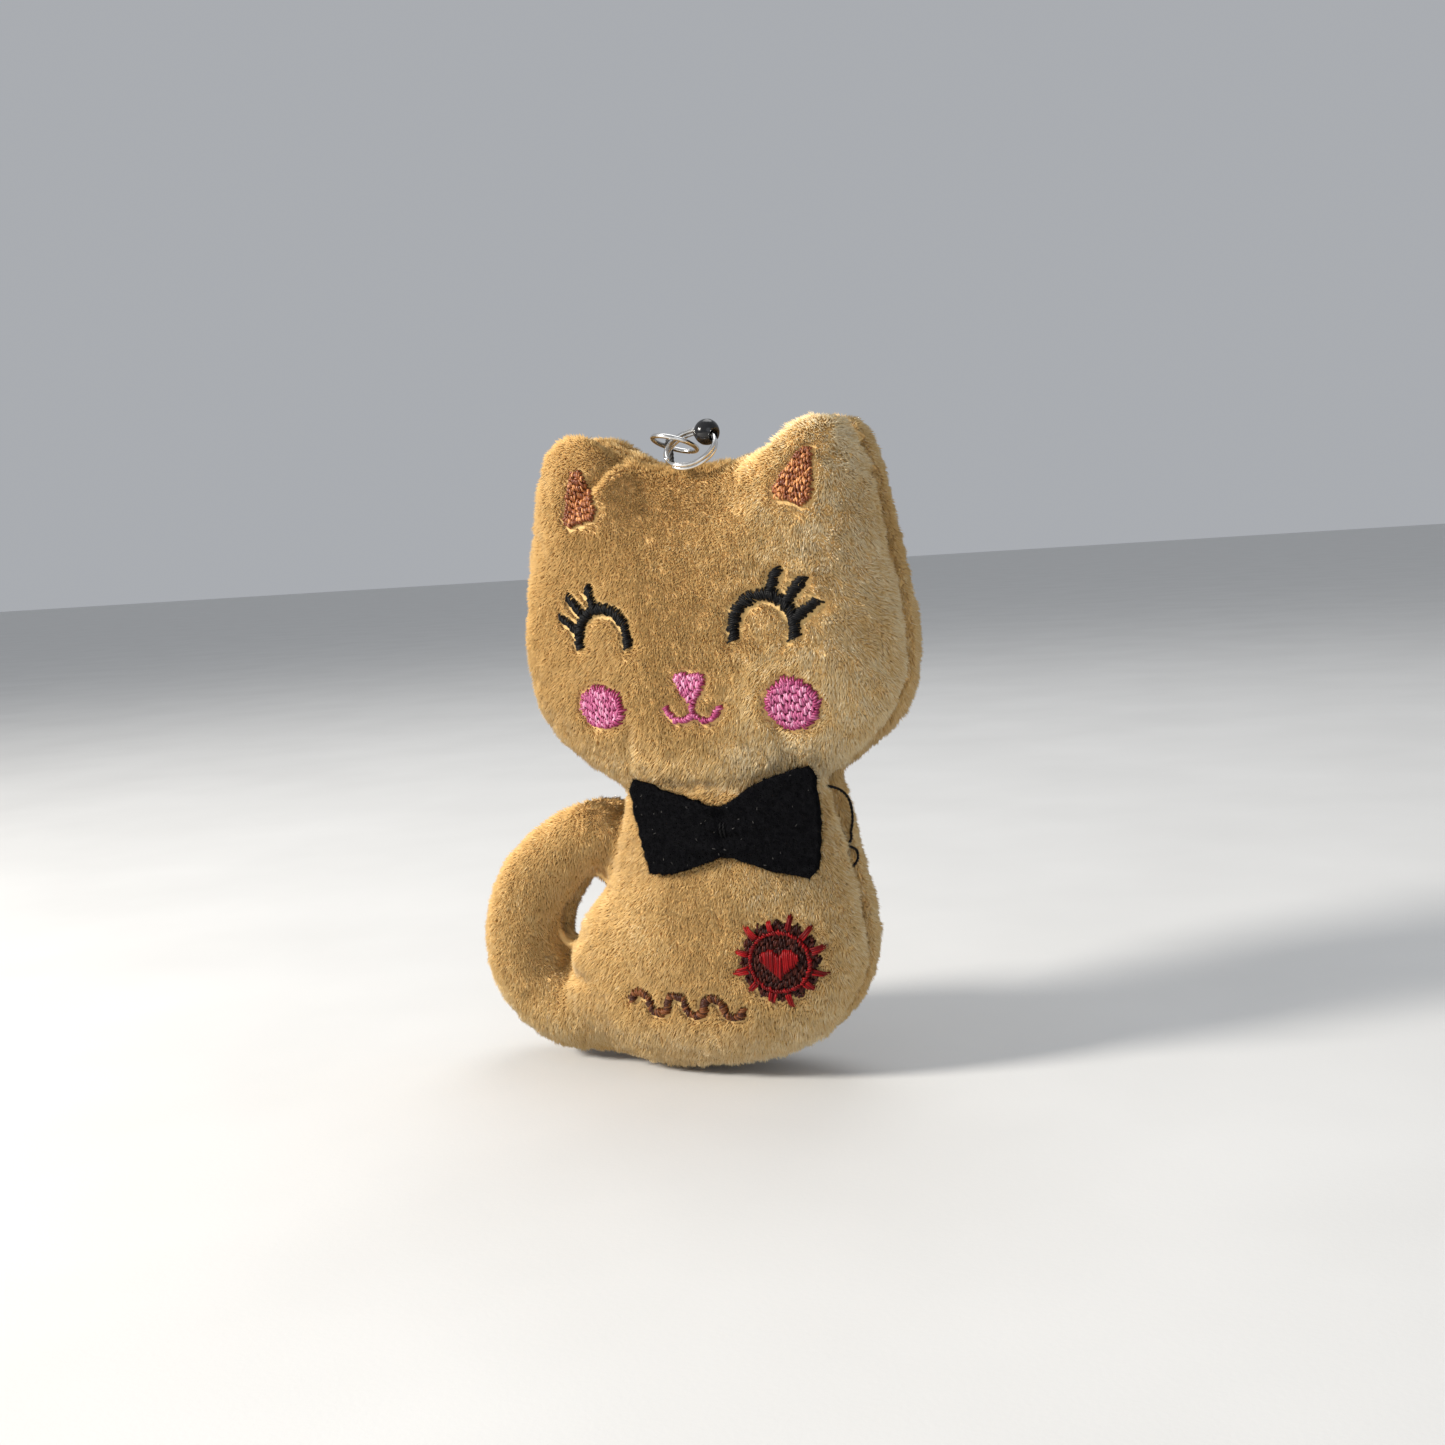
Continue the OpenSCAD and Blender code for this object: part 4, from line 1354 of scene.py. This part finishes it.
def add_split_ring(metal):
    """Two turns of one wire that step over to each other once."""
    start = math.radians(236)
    total = 4 * math.pi - math.radians(16)
    turn = start + total * np.linspace(0, 1, 230)
    cross = np.clip((turn - start - 2 * math.pi + math.radians(38)) / math.radians(60), 0, 1)
    rise = SPLIT_WIRE * 0.5 * (2 * cross * cross * (3 - 2 * cross) - 1)
    path = np.stack([SPLIT_R * np.cos(turn), SPLIT_R * np.sin(turn), rise], 1)
    add_wire("split_ring", path, SPLIT_WIRE / 2 * 0.99, on_split_ring, metal)


def add_bead(material):
    """A bored ball with a faint mould line, threaded on the split ring."""
    radius = BEAD_D / 2
    lip = 0.12
    mouth = math.asin((BORE_R + lip) / radius)
    profile = [(radius * math.cos(a), radius * math.sin(a) + 0.03 * math.exp(-(math.cos(a) / 0.04) ** 2))
               for a in np.linspace(mouth, math.pi - mouth, 41)]
    end = radius * math.cos(mouth)
    profile += [(-end + 0.02, BORE_R + lip * 0.3), (-end + lip, BORE_R)]
    profile += [(x, BORE_R) for x in np.linspace(-end + lip, end - lip, 9)[1:-1]]
    profile += [(end - lip, BORE_R), (end - 0.02, BORE_R + lip * 0.3)]
    sides = 48
    x, r = (np.array(profile)[:, k, None] for k in range(2))
    bend = np.where(r < BORE_R + lip * 0.5, x * x / (2 * SPLIT_R), 0)
    a = 2 * math.pi * np.arange(sides) / sides
    points = np.stack([SPLIT_R + r * np.cos(a) - bend, x + 0 * a, r * np.sin(a)], -1).reshape(-1, 3)
    index = np.arange(len(points)).reshape(-1, sides)
    after = np.roll(index, -1, 0)
    faces = np.stack([index, after, np.roll(after, -1, 1), np.roll(index, -1, 1)], -1).reshape(-1, 4)
    obj = new_object("bead_ball", on_split_ring(turned(points, 2, BEAD_ANGLE)), faces)
    obj.data.materials.append(material)
    stand_in(smooth_shaded(obj), "bead", "bead")


# ---------------------------------------------------------------- the whole

def main():
    add_camera()
    add_studio()

    tan_tint = (1.0, 0.86, 0.62)
    pile_shades = [plain(f"pile_{i}", shade, 0.82, 0.35, tan_tint, specular=0.35)
                   for i, shade in enumerate(PILE_SHADES)]
    cloth_tones = scaled(PILE_COLOUR, 0.9), scaled(PILE_COLOUR, 1.05)
    plush_cloth = mottled("plush_cloth", *cloth_tones, 3, 0.9, 0.5, 0.25)
    filling = mottled("filling", (0.78, 0.77, 0.73), (0.9, 0.89, 0.86), 3, 0.95, 0.4, 0.3)
    black = threads("black_thread", ((0.002, 0.002, 0.0025), (0.006, 0.006, 0.007)), 0.5, 0.14)
    # The palest pink is partly a painted glint, lighter than the thread.
    pink = threads("pink_thread", ((0.36, 0.03, 0.13), (0.55, 0.12, 0.27), (0.80, 0.34, 0.52)), 0.36)
    # The palest brown is a painted glint, lighter than the thread.
    brown = threads("brown_thread", ((0.22, 0.055, 0.014), (0.42, 0.14, 0.04), (0.78, 0.34, 0.12)), 0.36)
    wave_brown = threads("wave_thread", ((0.06, 0.015, 0.005), (0.2, 0.065, 0.018)), 0.4, 0.25)
    dark_brown = threads("patch_thread", ((0.026, 0.0035, 0.002), (0.065, 0.010, 0.005)), 0.45, 0.18)
    red = threads("red_thread", ((0.15, 0.0006, 0.0015), (0.28, 0.0012, 0.003)), 0.42, 0.18)
    tan_thread = mottled("tan_thread", (0.36, 0.2, 0.08), (0.5, 0.3, 0.13), 1.2, 0.7, 0.2, 0.05)
    felt = mottled("felt", (0.002, 0.002, 0.003), (0.006, 0.006, 0.007), 0.7, 0.97, 0.25, 0.25, specular=0.05)
    fuzz = [plain(f"felt_fibre_{i}", (c, c, c * 1.05), 0.95, specular=0.05)
            for i, c in enumerate((0.0015, 0.003, 0.009))]
    lint = plain("lint", (0.16, 0.15, 0.14), 0.9)
    cord = mottled("cord", (0.008, 0.008, 0.009), (0.03, 0.03, 0.032), 0.6, 0.6, 0.12, 0.06)
    metal = mottled("plated_steel", (0.62, 0.61, 0.59), (0.80, 0.79, 0.77), 1.5, 0.2, 0.3, 0.01, metallic=1.0)
    glossy = mottled("bead_gloss", (0.006, 0.006, 0.007), (0.012, 0.012, 0.013), 2.5, 0.14, 0.6, 0.008)

    points, triangles = toy_skin()
    points = with_seams(points, triangles)
    tree = BVHTree.FromPolygons(points.tolist(), triangles.tolist())
    rng = np.random.default_rng(7)
    works = {
        "eye_left": (sew_eye(tree, -1, rng), black), "eye_right": (sew_eye(tree, 1, rng), black),
        "cheek_left": (sew_cheek(tree, -1, rng), pink), "cheek_right": (sew_cheek(tree, 1, rng), pink),
        "nose": (sew_nose(tree, rng), pink), "mouth": (sew_mouth(tree, rng), pink),
        "inner_ear_left": (sew_inner_ear(tree, "inner_ear_left", (-0.35, 0.2), 8, rng), brown),
        "inner_ear_right": (sew_inner_ear(tree, "inner_ear_right", (0.85, 0.35), -19, rng), brown),
        "wave_stitching": (sew_waves(tree, rng), wave_brown),
    }
    base, heart, spokes = sew_patch(tree, rng)
    works |= {"patch_base": (base, dark_brown), "patch_heart": (heart, red),
              "patch_stitches": (spokes, red)}
    for node, (work, materials) in works.items():
        stand_in(work.parts.object(f"{node}_satin", materials), node)
    marks = mark_tree([work for work, _ in works.values()])

    near = near_satin(distance_to_marks(marks, points))
    normals = normals_of(points, triangles)
    points = points - normals * (SATIN_SINK * near)[:, None]
    normals = normals_of(points, triangles)
    under = SKIN_UNDER + (SKIN_UNDER_SATIN - SKIN_UNDER) * near
    skin = points - normals * under[:, None]
    add_panel("front_plush", "front_panel", skin, triangles, -1, plush_cloth)
    add_panel("back_plush", "back_panel", skin, triangles, 1, plush_cloth)
    add_pile(skin, triangles, normals, marks, pile_shades)
    add_stuffing(points, triangles, filling)
    add_seam_thread(skin, triangles, tan_thread)
    add_closing_stitch(tree, black[0])
    add_bow(felt, fuzz, lint)
    add_bow_stitch(black[0])
    add_hanger_loop(cord)
    add_jump_ring(metal)
    add_split_ring(metal)
    add_bead(glossy)


main()
